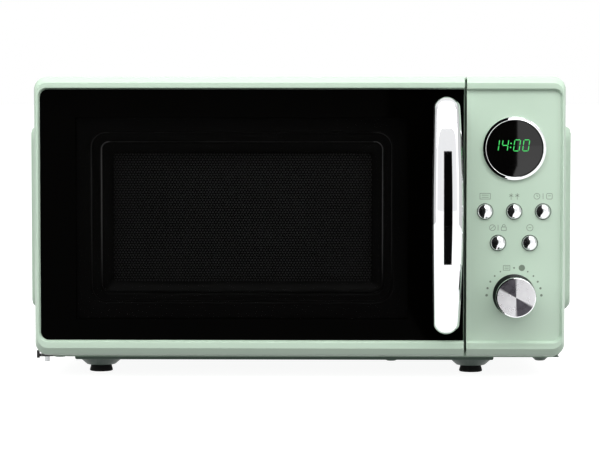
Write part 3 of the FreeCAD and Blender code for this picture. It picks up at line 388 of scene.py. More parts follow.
# painted shade: a near-black green for the knob's collar, standing for the shade in the recess
# round the knob
COLLAR_PAINTED_SHADE = plain_finish("knob_collar", (0.012, 0.02, 0.015, 1), 0.3, tone=0.2)

for subpart in frame["record"]["subparts"]:
    mesh = nodes[subpart["node"]].data
    mesh.materials.clear()
    mesh.materials.append(FINISHES[subpart["material_slot"]])


# ---------------------------------------------------------------- making pieces

def piece(name, bm, body, slot, stands_for=(), finish=None, crease=38.0, merge=1e-6):
    """Turns a bmesh into a finished piece that rides on a body."""
    bmesh.ops.remove_doubles(bm, verts=bm.verts, dist=merge)
    bmesh.ops.recalc_face_normals(bm, faces=bm.faces)
    mesh = bpy.data.meshes.new(name)
    bm.to_mesh(mesh)
    bm.free()
    mesh.shade_smooth()
    mesh.set_sharp_from_angle(angle=math.radians(crease))
    mesh.materials.append(finish or FINISHES[slot])
    made = bpy.data.objects.new(name, mesh)
    bpy.context.scene.collection.objects.link(made)
    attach(made, body)
    if stands_for:
        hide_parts(*stands_for)
    return made


def soften(made, width):
    """Rounds a piece's edges where its faces meet at more than 40 degrees."""
    bevel = made.modifiers.new("soft_edges", "BEVEL")
    bevel.width = width
    bevel.segments = 2
    bevel.limit_method = "ANGLE"
    bevel.angle_limit = math.radians(40.0)
    bevel.harden_normals = True


def thicken(made, thickness, offset):
    """Gives a sheet its wall, behind it (offset 1) or inside it (offset -1)."""
    wall = made.modifiers.new("wall", "SOLIDIFY")
    wall.thickness = thickness
    wall.offset = offset
    wall.use_even_offset = True


def loft(bm, rings):
    """Skins a row of closed rings that all have the same number of points."""
    count = len(rings[0])
    made = bmesh.ops.create_grid(bm, x_segments=count, y_segments=len(rings) - 1, size=0.5)
    for index, vert in enumerate(made["verts"]):
        row, column = divmod(index, count + 1)
        vert.co = rings[row][column % count]


def rounded_ring(x0, x1, z0, z1, radius, y, steps=10):
    """Points round a rounded rectangle that stands across the front at depth y."""
    points = []
    for x, z, start in ((x0 + radius, z0 + radius, 180), (x1 - radius, z0 + radius, 270),
                        (x1 - radius, z1 - radius, 0), (x0 + radius, z1 - radius, 90)):
        for step in range(steps + 1):
            angle = math.radians(start + 90 * step / max(steps, 1))
            points.append(Vector((x + radius * math.cos(angle), y, z + radius * math.sin(angle))))
    return points


def add_box(bm, low, high):
    made = bmesh.ops.create_cube(bm, size=1.0)["verts"]
    size = Vector(high) - Vector(low)
    bmesh.ops.scale(bm, vec=size, verts=made)
    bmesh.ops.translate(bm, vec=(Vector(low) + Vector(high)) / 2, verts=made)


def spun(bm, profile, x, z, steps=96):
    """Turns a profile of (radius, y) pairs about the line through (x, z) along Y."""
    verts = [bm.verts.new((x + radius, y, z)) for radius, y in profile]
    edges = [bm.edges.new(pair) for pair in zip(verts, verts[1:])]
    bmesh.ops.spin(bm, geom=verts + edges, cent=(x, 0, z), axis=(0, 1, 0), angle=TURN, steps=steps,
                   use_merge=True, use_duplicate=False)


def arc(x0, y0, x1, y1, bulge, steps):
    """Points of an arc between two profile points; bulge is its rise over half its chord."""
    start = Vector((x0, y0))
    chord = Vector((x1, y1)) - start
    half_angle = 2 * math.atan(bulge)
    radius = chord.length / 2 / math.sin(half_angle)
    middle = start + chord / 2
    side = Vector((-chord.y, chord.x)).normalized()
    hub = middle - side * (radius * math.cos(half_angle))
    arm = start - hub
    points = []
    for step in range(steps + 1):
        turn = -2 * half_angle * step / steps
        points.append((hub.x + arm.x * math.cos(turn) - arm.y * math.sin(turn),
                       hub.y + arm.x * math.sin(turn) + arm.y * math.cos(turn)))
    return points


def merged_copy(node):
    """The CAD node's shape with its loose triangles joined into whole faces."""
    bm = bmesh.new()
    bm.from_mesh(nodes[node].data)
    bmesh.ops.remove_doubles(bm, verts=bm.verts, dist=1e-6)
    bmesh.ops.dissolve_limit(bm, angle_limit=math.radians(1.0), verts=bm.verts, edges=bm.edges)
    return bm


# ---------------------------------------------------------------- door and panel lips

FACET_TURN = 58.0        # degrees that the outer edge turns through before its flat facet
FACET_DROP = 2.7 * MM
EDGE_SHARE = 0.28        # part of the outer zone's width that is rounded
EDGE_DROP = 2.9 * MM
SLOPE = 1.3 * MM
OUTER_R = 11.5 * MM
INNER_R = 7.0 * MM
WALL = 2.5 * MM
LIP_CREASE = 18.0
LIP_SOFTNESS = 0.35 * MM
BEYOND = 40 * MM         # how far each lip is built past the gap before it is cut there
GLASS_LEDGE = 6 * MM     # width of the ledge that carries the glass
LEDGE_THICK = 2.4 * MM
PRINT_EDGE = 0.6 * MM    # how far the control face reaches under its lip


def lip_section(widths, rounds, behind):
    """Stations of the lip's section, from outside in.

    Each is the insets left, right, bottom and top, the depth, and the share of the way in.
    """
    stations = []
    facet = math.radians(FACET_TURN)
    radius = EDGE_SHARE / (1 - math.cos(facet))
    for step in range(9):
        angle = facet * step / 8
        insets = [width * radius * (1 - math.cos(angle)) for width in rounds]
        drop = FACET_DROP + EDGE_DROP * (1 - math.sin(angle) / math.sin(facet))
        stations.append((insets, LIP_Y + drop, 0.4 * step / 8))
    stations.append((rounds, LIP_Y, 0.5))
    for back, drop in ((SLOPE * 1.5, 0.0), (SLOPE * 1.08, 0.10 * MM), (SLOPE * 0.82, 0.45 * MM)):
        stations.append(([width - back for width in widths], LIP_Y + drop, 0.9))
    stations.append(([width + behind for width in widths], FACE_Y + behind, 1.0))
    return stations


def lip_rings(low, high, stations):
    rings = []
    for (left, right, bottom, top), y, share in stations:
        radius = OUTER_R + (INNER_R - OUTER_R) * share
        rings.append(rounded_ring(low.x + left, high.x - right, low.z + bottom, high.z - top,
                                  radius, y))
    return rings


def cut_at(bm, x, keep_left):
    """Cuts the lip at the gap between door and panel and closes the cut faces."""
    cut = bmesh.ops.bisect_plane(bm, geom=bm.verts[:] + bm.edges[:] + bm.faces[:], dist=1e-7,
                                 plane_co=(x, 0, 0), plane_no=(1 if keep_left else -1, 0, 0),
                                 clear_outer=True)
    edges = [item for item in cut["geom_cut"] if isinstance(item, bmesh.types.BMEdge)]
    bmesh.ops.holes_fill(bm, edges=edges, sides=0)


def door_moulding():
    low, high = door_low.copy(), door_high.copy()
    high.x += BEYOND
    widths = (4.9 * MM, 4.9 * MM, 13.2 * MM, 10.7 * MM)
    rounds = (2.0 * MM, 2.0 * MM, 6.6 * MM, 5.2 * MM)
    stations = [([0] * 4, door_high.y, 0.0)] + lip_section(widths, rounds, 0.0)
    ledge = [width + GLASS_LEDGE for width in widths]
    wall = [WALL] * 4
    glass_rear = glass_high.y + 0.1 * MM
    ledge_rear = glass_rear + LEDGE_THICK
    stations += [(widths, glass_rear, 1.0), (ledge, glass_rear, 1.0), (ledge, ledge_rear, 1.0),
                 (wall, ledge_rear, 0.3), (wall, door_high.y, 0.3), ([0] * 4, door_high.y, 0.0)]
    bm = bmesh.new()
    loft(bm, lip_rings(low, high, stations))
    bmesh.ops.remove_doubles(bm, verts=bm.verts, dist=1e-6)
    cut_at(bm, door_high.x, True)
    add_box(bm, (door_high.x - WALL, glass_rear, low.z + 11 * MM),
            (door_high.x, door_high.y, high.z - 9 * MM))
    made = piece("door_moulding", bm, "door", "mint_plastic", ["door_frame"], crease=LIP_CREASE)
    soften(made, LIP_SOFTNESS)


def extrude_back(bm, depth):
    """Gives flat faces a thickness behind them."""
    grown = bmesh.ops.extrude_face_region(bm, geom=bm.faces[:])
    moved = [item for item in grown["geom"] if isinstance(item, bmesh.types.BMVert)]
    bmesh.ops.translate(bm, vec=(0, depth, 0), verts=moved)


def holed_plate(outline, holes, y0, y1):
    """Flat plate across the front with round holes; outline and holes are rings of points."""
    bm = bmesh.new()
    edges = []
    for ring in [outline] + holes:
        verts = [bm.verts.new(point) for point in ring]
        edges += [bm.edges.new(pair) for pair in zip(verts, verts[1:] + verts[:1])]
    bmesh.ops.triangle_fill(bm, use_beauty=True, use_dissolve=True, edges=edges, normal=(0, -1, 0))
    extrude_back(bm, y1 - y0)
    return bm


def round_ring(x, z, radius, y, steps=48):
    angles = [TURN * step / steps for step in range(steps)]
    return [Vector((x + radius * math.cos(angle), y, z + radius * math.sin(angle)))
            for angle in angles]


BUTTONS = ["button_%d" % number for number in range(1, 6)]


def panel_moulding():
    low, high = panel_low.copy(), panel_high.copy()
    low.x -= BEYOND
    widths = (3.9 * MM, 3.9 * MM, 12.8 * MM, 11.5 * MM)
    rounds = (1.9 * MM, 1.9 * MM, 6.4 * MM, 5.4 * MM)
    stations = [([0] * 4, panel_high.y, 0.0)] + lip_section(widths, rounds, 0.5 * MM)
    inner = [width + 0.5 * MM for width in widths]
    wall = [WALL] * 4
    face_rear = FACE_Y + WALL
    stations += [(inner, face_rear, 1.0), (wall, face_rear, 0.3), (wall, panel_high.y, 0.3),
                 ([0] * 4, panel_high.y, 0.0)]
    bm = bmesh.new()
    loft(bm, lip_rings(low, high, stations))
    bmesh.ops.remove_doubles(bm, verts=bm.verts, dist=1e-6)
    cut_at(bm, panel_low.x, False)
    add_box(bm, (panel_low.x, face_rear, low.z + 10 * MM),
            (panel_low.x + WALL, panel_high.y, high.z - 9 * MM))
    rim = piece("panel_moulding", bm, "cabinet", "mint_plastic", ["control_panel"],
                crease=LIP_CREASE)
    soften(rim, LIP_SOFTNESS)
    outline = rounded_ring(panel_low.x, panel_high.x - widths[1] + PRINT_EDGE,
                           panel_low.z + widths[2] - PRINT_EDGE,
                           panel_high.z - widths[3] + PRINT_EDGE, 0.0, FACE_Y, 0)
    holes = []
    for button in BUTTONS:
        spot = centre(button)
        holes.append(round_ring(spot.x, spot.z, 6.7 * MM, FACE_Y))
    for node, radius in (("display_ring", 20 * MM), ("knob", 4.5 * MM)):
        spot = centre(node)
        holes.append(round_ring(spot.x, spot.z, radius, FACE_Y))
    bm = holed_plate(outline, holes, FACE_Y, face_rear)
    piece("control_face", bm, "cabinet", "mint_plastic")


door_moulding()
panel_moulding()


# ---------------------------------------------------------------- door window

def grown_ring(area, margin, radius, y):
    x0, x1, z0, z1 = area
    return rounded_ring(x0 * MM - margin, x1 * MM + margin, z0 * MM - margin, z1 * MM + margin,
                        radius + margin, y)


def window_pressing():
    """Black steel pan whose well steps back twice round the perforated screen."""
    front = plate_low.y
    step = STEP_DEPTH
    rings = []
    pan = (plate_low.x / MM, plate_high.x / MM, plate_low.z / MM, plate_high.z / MM)
    rings.append(grown_ring(pan, 0.0, 6 * MM, plate_high.y))
    rings.append(grown_ring(pan, 0.0, 6 * MM, front + 1.5 * MM))
    rings.append(grown_ring(pan, -0.5 * MM, 6 * MM, front + 0.5 * MM))
    rings.append(grown_ring(pan, -1.5 * MM, 6 * MM, front))
    for area, radius, level in ((WINDOW_OUTER, 13 * MM, front),
                                (WINDOW_INNER, 7 * MM, front + step)):
        for turn in range(7):
            angle = math.radians(90 * turn / 6)
            rings.append(grown_ring(area, STEP_EDGE * (1 - math.sin(angle)), radius,
                                    level + STEP_EDGE * (1 - math.cos(angle))))
        rings.append(grown_ring(area, 0.0, radius, level + step - 0.8 * MM))
        rings.append(grown_ring(area, -0.8 * MM, radius, level + step))
    overlap = 5
    opening = (screen_low.x / MM + overlap, screen_high.x / MM - overlap,
               screen_low.z / MM + overlap, screen_high.z / MM - overlap)
    rings.append(grown_ring(opening, 0.0, 3 * MM, front + 2 * step))
    bm = bmesh.new()
    loft(bm, rings)
    made = piece("window_pressing", bm, "door", "black_steel", ["window_plate"], WINDOW_BLACK_PAINTED_HIGHLIGHTS,
                 60.0)
    thicken(made, 0.9 * MM, 1.0)


def hex_sheet():
    """Steel sheet with staggered round holes."""
    pitch = 2.5 * MM
    radius = pitch / math.sqrt(3)
    row_height = 1.5 * radius
    columns = int((screen_high.x - screen_low.x) / pitch)
    rows = int((screen_high.z - screen_low.z) / row_height)
    bm = bmesh.new()
    bmesh.ops.create_circle(bm, cap_ends=True, segments=6, radius=radius,
                            matrix=Matrix.Rotation(math.radians(90), 4, "X"))
    for count, shift in ((columns, Vector((pitch, 0, 0))), (rows, None)):
        source = bm.faces[:]
        for number in range(1, count):
            stagger = Vector((pitch / 2 * (number % 2), 0, row_height * number))
            move = shift * number if shift else stagger
            copy = bmesh.ops.duplicate(bm, geom=source)
            verts = [item for item in copy["geom"] if isinstance(item, bmesh.types.BMVert)]
            bmesh.ops.translate(bm, vec=move, verts=verts)
    low_x = (screen_low.x + screen_high.x) / 2 - (columns - 0.5) * pitch / 2
    low_z = (screen_low.z + screen_high.z) / 2 - (rows - 1) * row_height / 2
    bmesh.ops.translate(bm, vec=(low_x, screen_low.y, low_z), verts=bm.verts)
    bmesh.ops.remove_doubles(bm, verts=bm.verts, dist=1e-5)
    web = 0.42 * MM
    bmesh.ops.inset_individual(bm, faces=bm.faces[:], thickness=web, use_even_offset=True)
    holes = [face for face in bm.faces if len(face.verts) == 6]
    bmesh.ops.delete(bm, geom=holes, context="FACES_ONLY")
    made = piece("perforated_screen", bm, "door", "black_steel", ["screen_mesh"], SCREEN_BLACK,
                 30.0)
    thicken(made, screen_high.y - screen_low.y, 1.0)


window_pressing()
hex_sheet()


# ---------------------------------------------------------------- handle

def bowed_handle():
    """Chrome bar that stands off the glass in a long bow, its ends turned down to the door."""
    low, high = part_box("handle")
    middle = (low.z + high.z) / 2
    x = (low.x + high.x) / 2
    half_mid = (high.x - low.x) / 2
    half_end = 11 * MM
    tip = 8 * MM
    end_r = 12 * MM
    end_y = low.y + 18 * MM
    thick = 8.5 * MM
    foot_z = 14 * MM
    step_up = foot_z + 0.4 * MM

    def bow(z, level, reach, rise):
        """Depth of an arc through level + rise at both reaches and level in the middle."""
        radius = (reach * reach + rise * rise) / (2 * rise)
        offset = min(abs(z - middle), reach)
        return level + radius - math.sqrt(radius * radius - offset * offset)

    heights = []
    length = high.z - low.z
    for step in range(13):
        heights.append(foot_z * (1 - math.cos(math.radians(90 * step / 12))))
    heights.append(step_up)
    inner = [step_up + (length / 2 - step_up) * step / 20 for step in range(1, 21)]
    half = heights + inner
    zs = [low.z + height for height in half] + [high.z - height for height in reversed(half[:-1])]
    reach = length / 2 - end_r
    lean = end_r * math.tan(2 * math.atan((end_y - low.y) / reach))
    rings = []
    for z in zs:
        out = min(z - low.z, high.z - z)
        if out < tip:
            # the outline closes in a flat arc over each end
            radius = (half_end * half_end + tip * tip) / (2 * tip)
            half_width = math.sqrt(max(radius * radius - (radius - out) ** 2, 0.0))
        else:
            big = length / 2 - tip
            rise = half_mid - half_end
            radius = (big * big + rise * rise) / (2 * rise)
            offset = abs(z - middle)
            half_width = half_mid - radius + math.sqrt(radius * radius - offset * offset)
        if out < end_r:
            # starts along the bow's slope and turns square to the door
            share = 1 - out / end_r
            front = end_y + lean * share + (end_r - lean) * (1 - math.sqrt(1 - share * share))
        else:
            front = bow(z, low.y, reach, end_y - low.y)
        if out <= foot_z:
            back = high.y
        else:
            back = bow(z, low.y + thick, reach - 2 * MM, end_y - low.y)
        crown = 5.6 * MM * (half_width / half_mid)
        ring = []
        for step in range(41):
            share = math.sin(math.radians(-90 + 180 * step / 40))
            ring.append(Vector((x + half_width * share, front + crown * share ** 4, z)))
        edge = ring[-1].y
        rear = max(back, edge + 0.2 * MM)
        for share in (1.0, 0.985, 0.9, 0.5, 0.0, -0.5, -0.9, -0.985, -1.0):
            inset = 0.0 if abs(share) < 0.95 else (1.0 * MM if abs(share) == 1.0 else 0.3 * MM)
            ring.append(Vector((x + half_width * share, max(rear - inset, edge), z)))
        rings.append(ring)
    bm = bmesh.new()
    loft(bm, rings)
    piece("bowed_handle", bm, "door", "chrome", ["handle"], crease=50.0, merge=2e-6)


bowed_handle()


# ---------------------------------------------------------------- display

display = centre("display_ring")
RING_IN, RING_OUT = 24.1 * MM, 26.9 * MM


def chrome_ring():
    profile = [(RING_IN, FACE_Y), (RING_IN, FACE_Y - 2.5 * MM)]
    profile += arc(RING_IN + 0.1 * MM, FACE_Y - 2.8 * MM,
                   RING_IN + 0.5 * MM, FACE_Y - 3.0 * MM, 0.3, 4)
    profile += arc(RING_IN + 0.6 * MM, FACE_Y - 3.0 * MM,
                   RING_OUT - 0.1 * MM, FACE_Y - 2.3 * MM, 0.05, 8)
    profile.append((RING_OUT, FACE_Y - 2.1 * MM))
    profile += [(RING_OUT, FACE_Y), (RING_IN, FACE_Y)]
    bm = bmesh.new()
    spun(bm, profile, display.x, display.z, 128)
    piece("display_bezel", bm, "cabinet", "chrome", ["display_ring"], crease=50.0)


LENS_R = RING_IN - 0.05 * MM


def lens_y(radius):
    """Front of the domed lens at a distance from its middle."""
    rise = 1.2 * MM
    sphere = (LENS_R * LENS_R + rise * rise) / (2 * rise)
    return FACE_Y - 2.2 * MM + sphere - math.sqrt(sphere * sphere - radius * radius)


def smoked_lens():
    profile = [(0.0, FACE_Y), (LENS_R, FACE_Y)]
    for step in range(13):
        radius = LENS_R * (1 - step / 12)
        profile.append((radius, lens_y(radius)))
    bm = bmesh.new()
    spun(bm, profile, display.x, display.z, 96)
    piece("smoked_lens", bm, "cabinet", "display_lens", ["display_lens"])


SEGMENTS = {"1": "bc", "4": "fgbc", "0": "abcdef"}
MARK_THICK = 0.1 * MM    # digits and printed marks


def clock_digits():
    """Slanted seven-segment digits that show two o'clock in the afternoon."""
    width, height, bar, gap = 4.8 * MM, 9.4 * MM, 0.74 * MM, 0.3 * MM
    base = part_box("display_module")[0].z + 6.9 * MM
    slant = 0.14
    half = height / 2
    # where each segment starts, and whether it lies flat
    layout = {"a": (0, height, 1), "g": (0, half, 1), "d": (0, 0, 1), "f": (0, half, 0),
              "b": (width, half, 0), "e": (0, 0, 0), "c": (width, 0, 0)}
    bm = bmesh.new()
    starts = (-18.8 * MM, -11.1 * MM, -1.1 * MM, 6.7 * MM)
    for digit, start in zip("1400", starts):
        for name in SEGMENTS[digit]:
            x, z, lying = layout[name]
            length = width if lying else half
            outline = ((gap, 0), (gap + bar / 2, -bar / 2),
                       (length - gap - bar / 2, -bar / 2), (length - gap, 0),
                       (length - gap - bar / 2, bar / 2), (gap + bar / 2, bar / 2))
            verts = []
            for u, v in outline:
                du, dv = (u, v) if lying else (v, u)
                up = z + dv
                across = display.x + start + x + du + slant * up
                verts.append(bm.verts.new((across, FACE_Y, base + up)))
            bm.faces.new(verts)
    colon_x = display.x - 3.9 * MM
    for up in (0.32, 0.68):
        z = height * up
        spot = Matrix.Translation((colon_x + slant * z, FACE_Y, base + z))
        bmesh.ops.create_circle(bm, cap_ends=True, segments=16, radius=0.62 * MM,
                                matrix=spot @ Matrix.Rotation(math.radians(90), 4, "X"))
    extrude_back(bm, MARK_THICK)
    for vert in bm.verts:
        radius = math.hypot(vert.co.x - display.x, vert.co.z - display.z)
        vert.co.y += lens_y(radius) - FACE_Y - 0.07 * MM
    piece("clock_digits", bm, "cabinet", "display_lens", finish=LIT)


chrome_ring()
smoked_lens()
clock_digits()


# ---------------------------------------------------------------- buttons and knob

def chrome_button(node):
    spot = centre(node)
    cap, rim = 6.35 * MM, FACE_Y - 1.0 * MM
    crest = FACE_Y - 4.4 * MM
    flange = FACE_Y + WALL + 0.4 * MM
    rise = rim - 0.5 * MM - crest
    sphere = (cap * cap + rise * rise) / (2 * rise)
    profile = []
    for step in range(15):
        radius = (cap - 0.25 * MM) * step / 14
        profile.append((radius, crest + sphere - math.sqrt(sphere * sphere - radius * radius)))
    flange_r, flange_rear = cap + 1.2 * MM, flange + 1.4 * MM
    stem = 2.2 * MM
    profile += [(cap - 0.06 * MM, rim - 0.38 * MM), (cap, rim), (cap, flange), (flange_r, flange),
                (flange_r, flange_rear), (stem, flange_rear),
                (stem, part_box(node)[1].y), (0.0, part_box(node)[1].y)]
    bm = bmesh.new()
    spun(bm, profile, spot.x, spot.z, 72)
    piece("chrome_" + node, bm, node, "chrome", [node], BUTTON_CHROME, 50.0)


def button_bezels():
    """Thin near-black rings that line the button holes: painted shadow of the gaps round the
    buttons.
    """
    bm = bmesh.new()
    section = ((6.5, 1.0), (6.5, -0.15), (6.75, -0.3), (7.0, -0.05), (6.7, 1.0), (6.5, 1.0))
    profile = [(radius * MM, FACE_Y + back * MM) for radius, back in section]
    for button in BUTTONS:
        spot = centre(button)
        spun(bm, profile, spot.x, spot.z, 64)
    piece("button_bezels", bm, "cabinet", "black_plastic", finish=SHADOW_GAP)


knob = centre("knob")
knob_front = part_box("knob")[0].y


def knob_pieces():
    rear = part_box("knob")[1].y
    radius, face = 17.0 * MM, 15.9 * MM
    profile = [(0.0, rear), (radius - 0.3 * MM, rear), (radius, rear - 0.3 * MM),
               (radius, knob_front + 1.7 * MM)]
    profile += arc(radius, knob_front + 1.6 * MM, radius - 0.9 * MM, knob_front, 0.3, 5)
    profile += [(face, knob_front), (face, knob_front + 0.6 * MM), (0.0, knob_front + 0.6 * MM)]
    bm = bmesh.new()
    spun(bm, profile, knob.x, knob.z, 128)
    piece("knob_body", bm, "knob", "chrome", ["knob"], crease=50.0)
    # turning marks: fine ridges that widen the highlights into wedges; the dark and bright fans on
    # the face are painted reflections in its finish
    level = knob_front + 0.25 * MM
    face_rear = level + 0.3 * MM
    pitch, ridge, shoulder = 0.36 * MM, 0.01 * MM, 0.007 * MM
    profile = []
    count = int((face - 0.1 * MM) / pitch)
    for number in range(count):
        start = number * pitch
        profile += [(start, level), (start + pitch / 4, level - shoulder),
                    (start + pitch / 2, level - ridge), (start + pitch * 3 / 4, level - shoulder)]
    profile += [(face - 0.05 * MM, level), (face - 0.05 * MM, face_rear), (0.0, face_rear)]
    bm = bmesh.new()
    spun(bm, profile, knob.x, knob.z, 96)
    piece("spun_knob_face", bm, "knob", "spun_aluminium", ["knob_face"], crease=60.0)
    low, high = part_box("knob_collar")
    hole, outer = 12 * MM, (high.x - low.x) / 2
    profile = [(hole, FACE_Y), (hole, low.y + 0.2 * MM), (outer - 0.5 * MM, low.y),
               (outer, low.y + 0.4 * MM), (outer, FACE_Y), (hole, FACE_Y)]
    bm = bmesh.new()
    spun(bm, profile, knob.x, knob.z, 96)
    # the collar's finish is painted shade of the recess round the knob
    piece("collar_ring", bm, "cabinet", "black_plastic", ["knob_collar"], finish=COLLAR_PAINTED_SHADE)


for button in BUTTONS:
    chrome_button(button)
button_bezels()
knob_pieces()


# ---------------------------------------------------------------- printed marks

PRINT_Y = FACE_Y - 0.04 * MM
LINE = 0.42 * MM


class Marks:
    """Flat printed marks on the control face, in millimetres round a chosen middle."""

    def __init__(self):
        self.bm = bmesh.new()
        self.x = 0.0
        self.z = 0.0

    def at(self, x, z):
        self.x = x
        self.z = z
        return self

    def stroke(self, x0, z0, x1, z1):
        start = Vector((self.x + x0 * MM, PRINT_Y, self.z + z0 * MM))
        end = Vector((self.x + x1 * MM, PRINT_Y, self.z + z1 * MM))
        way = (end - start).normalized()
        side = Vector((-way.z, 0, way.x)) * (LINE / 2)
        corners = (start - side, end - side, end + side, start + side)
        self.bm.faces.new([self.bm.verts.new(point) for point in corners])

    def disc(self, x, z, radius, sides=24):
        spot = Matrix.Translation((self.x + x * MM, PRINT_Y, self.z + z * MM))
        made = bmesh.ops.create_circle(self.bm, cap_ends=True, segments=sides, radius=radius * MM,
                                       matrix=spot @ Matrix.Rotation(math.radians(90), 4, "X"))
        return made["verts"][0].link_faces[0]

    def ring(self, x, z, radius):
        self.hollow(self.disc(x, z, radius, 28))

    def hollow(self, face):
        bmesh.ops.inset_region(self.bm, faces=[face], thickness=LINE, use_boundary=True,
                               use_even_offset=True)
        bmesh.ops.delete(self.bm, geom=[face], context="FACES_ONLY")

    def frame(self, x0, z0, x1, z1, corner=0.0):
        points = rounded_ring(self.x + x0 * MM, self.x + x1 * MM,
                              self.z + z0 * MM, self.z + z1 * MM,
                              corner * MM, PRINT_Y, 4 if corner else 0)
        face = self.bm.faces.new([self.bm.verts.new(point) for point in points])
        face.normal_update()
        self.hollow(face)

    def star(self, x, z, reach):
        for turn in range(3):
            angle = math.radians(90 + 60 * turn)
            dx, dz = reach * math.cos(angle), reach * math.sin(angle)
            self.stroke(x - dx, z - dz, x + dx, z + dz)


def printed_marks():
    marks = Marks()
    up = 13.0 * MM
    spots = [centre(button) for button in BUTTONS]
    # microwave power: a lined window
    marks.at(spots[0].x, spots[0].z + up).frame(-4.6, -2.6, 4.6, 2.6)
    for z in (-0.9, 0.9):
        marks.stroke(-3.0, z, 3.0, z)
    # defrost by weight and time: two flakes
    marks.at(spots[1].x, spots[1].z + up)
    for x in (-2.6, 2.6):
        marks.star(x, 0.6, 1.9)
        marks.stroke(x, -1.6, x, -2.8)
    # clock and timer
    marks.at(spots[2].x, spots[2].z + up).ring(-5.2, 0, 2.7)
    marks.stroke(-5.2, 0, -5.2, 1.6)
    marks.stroke(-5.2, 0, -4.0, 0)
    marks.stroke(0, -2.4, 0, 2.4)
    marks.frame(2.8, -2.6, 8.0, 2.6, 1.2)
    marks.stroke(4.2, 0.4, 6.6, 0.4)
    # stop and lock
    marks.at(spots[3].x, spots[3].z + up).ring(-4.8, 0, 2.7)
    marks.stroke(-6.4, -1.2, -3.2, 1.4)
    marks.stroke(0, -2.4, 0, 2.4)
    marks.frame(2.6, -2.6, 7.2, 0.8, 0.5)
    marks.frame(3.5, 0.4, 6.3, 2.9, 1.2)
    # start
    marks.at(spots[4].x, spots[4].z + up).ring(0, 0, 2.9)
    marks.stroke(-1.2, 0, 1.2, 0)
    # over the knob: cooking window, dot, clock
    marks.at(knob.x, knob.z + 23.2 * MM).frame(-9.4, -2.0, -3.4, 2.4)
    for z in (-0.5, 1.0):
        marks.stroke(-8.2, z, -4.6, z)
    marks.disc(0, 0.2, 0.75)
    marks.disc(6.6, 0.2, 2.7)
    # scale of dots on both sides of the knob, smaller towards the top
    dot_circle = 23.3 * MM
    for side in (-1, 1):
        for step in range(5):
            angle = math.radians(15 * step)
            marks.at(knob.x + side * dot_circle * math.cos(angle),
                     knob.z + dot_circle * math.sin(angle))
            marks.disc(0, 0, 1.1 - 0.11 * step)
    extrude_back(marks.bm, MARK_THICK)
    piece("printed_marks", marks.bm, "cabinet", "grey_plastic", finish=PRINT, merge=1e-7)


printed_marks()


# ---------------------------------------------------------------- cabinet shell

def stations(low, high, step, marks):
    """Positions from low to high: every mark, and even steps between them."""
    stops = sorted({low, high} | {mark for mark in marks if low < mark < high})
    places = []
    for start, end in zip(stops, stops[1:]):
        count = max(1, round((end - start) / step))
        places += [start + (end - start) * number / count for number in range(count)]
    return places + [high]


BULGE_Y = (-104 * MM, 150 * MM)
BULGE_Z = (51 * MM, 221 * MM)
SLOT_Y = (52 * MM, 96 * MM)
SLOT_LENGTH = 34 * MM
SLOT_Z = [(99 + 9 * row) * MM for row in range(9)]
SLOT_HEIGHT = 3 * MM
HOOD = 1.5 * MM
HEM_R = 4 * MM           # turned-in lower edge of the casing
NEAR = 1e-6


def bulge_height(y, z):
    """How far the pressed side panel stands out, 0 to 1."""
    corner = 18 * MM
    slope = 8 * MM
    half_y = (BULGE_Y[1] - BULGE_Y[0]) / 2 - corner
    half_z = (BULGE_Z[1] - BULGE_Z[0]) / 2 - corner
    away_y = abs(y - sum(BULGE_Y) / 2) - half_y
    away_z = abs(z - sum(BULGE_Z) / 2) - half_z
    outside = math.hypot(max(away_y, 0), max(away_z, 0)) + min(max(away_y, away_z), 0) - corner
    share = min(max(-outside / slope, 0.0), 1.0)
    return share * share * (3 - 2 * share)


def slot_tops(side):
    """Lower edges of the louvres on one side: the right has more of them."""
    return SLOT_Z if side > 0 else SLOT_Z[3:]


def casing():
    """Wrap-round sheet steel cover with pressed side panels and hooded louvres."""
    low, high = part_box("outer_casing")
    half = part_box("rear_panel")[1].x
    rise = high.x - half
    sides = stations(low.z + HEM_R, high.z - OUTER_R, 3.6 * MM,
                     SLOT_Z + [z + SLOT_HEIGHT for z in SLOT_Z])
    # the section from the lower left edge round to the lower right: x, z and which side it is
    path = []
    for step in range(5):
        angle = math.radians(90 * step / 5)
        path.append((-half + HEM_R * (1 - math.sin(angle)),
                     low.z + HEM_R * (1 - math.cos(angle)), 0))
    path += [(-half, z, -1) for z in sides]
    for step in range(1, 10):
        angle = math.radians(90 * step / 10)
        path.append((-half + OUTER_R * (1 - math.cos(angle)),
                     high.z - OUTER_R * (1 - math.sin(angle)), 0))
    flat = half - OUTER_R
    path += [(flat * (-1 + step / 12), high.z, 0) for step in range(13)]
    path += [(-x, z, -side) for x, z, side in reversed(path[:-1])]
    ys = stations(low.y, high.y, 4.2 * MM,
                  list(SLOT_Y) + [start + SLOT_LENGTH for start in SLOT_Y])
    bm = bmesh.new()
    made = bmesh.ops.create_grid(bm, x_segments=len(path) - 1, y_segments=len(ys) - 1,
                                 size=0.5)["verts"]
    for index, vert in enumerate(made):
        row, column = divmod(index, len(path))
        x, z, side = path[column]
        y = ys[row]
        out = rise * bulge_height(y, z) if side else 0.0
        beside = any(start - NEAR < y < start + SLOT_LENGTH + NEAR for start in SLOT_Y)
        if side and beside:
            if any(abs(z - top - SLOT_HEIGHT) < NEAR for top in slot_tops(side)):
                out += HOOD
        vert.co = (x + side * out, y, z)
    slots = []
    for face in bm.faces:
        spot = face.calc_center_median()
        beside = any(start < spot.y < start + SLOT_LENGTH for start in SLOT_Y)
        level = any(top < spot.z < top + SLOT_HEIGHT for top in slot_tops(spot.x))
        if abs(spot.x) > half - 1 * MM and beside and level:
            slots.append(face)
    bmesh.ops.delete(bm, geom=slots, context="FACES_ONLY")
    bmesh.ops.reverse_faces(bm, faces=bm.faces)
    made = piece("wrap_casing", bm, "cabinet", "mint_steel", ["outer_casing"], crease=50.0)
    thicken(made, 0.9 * MM, -1.0)


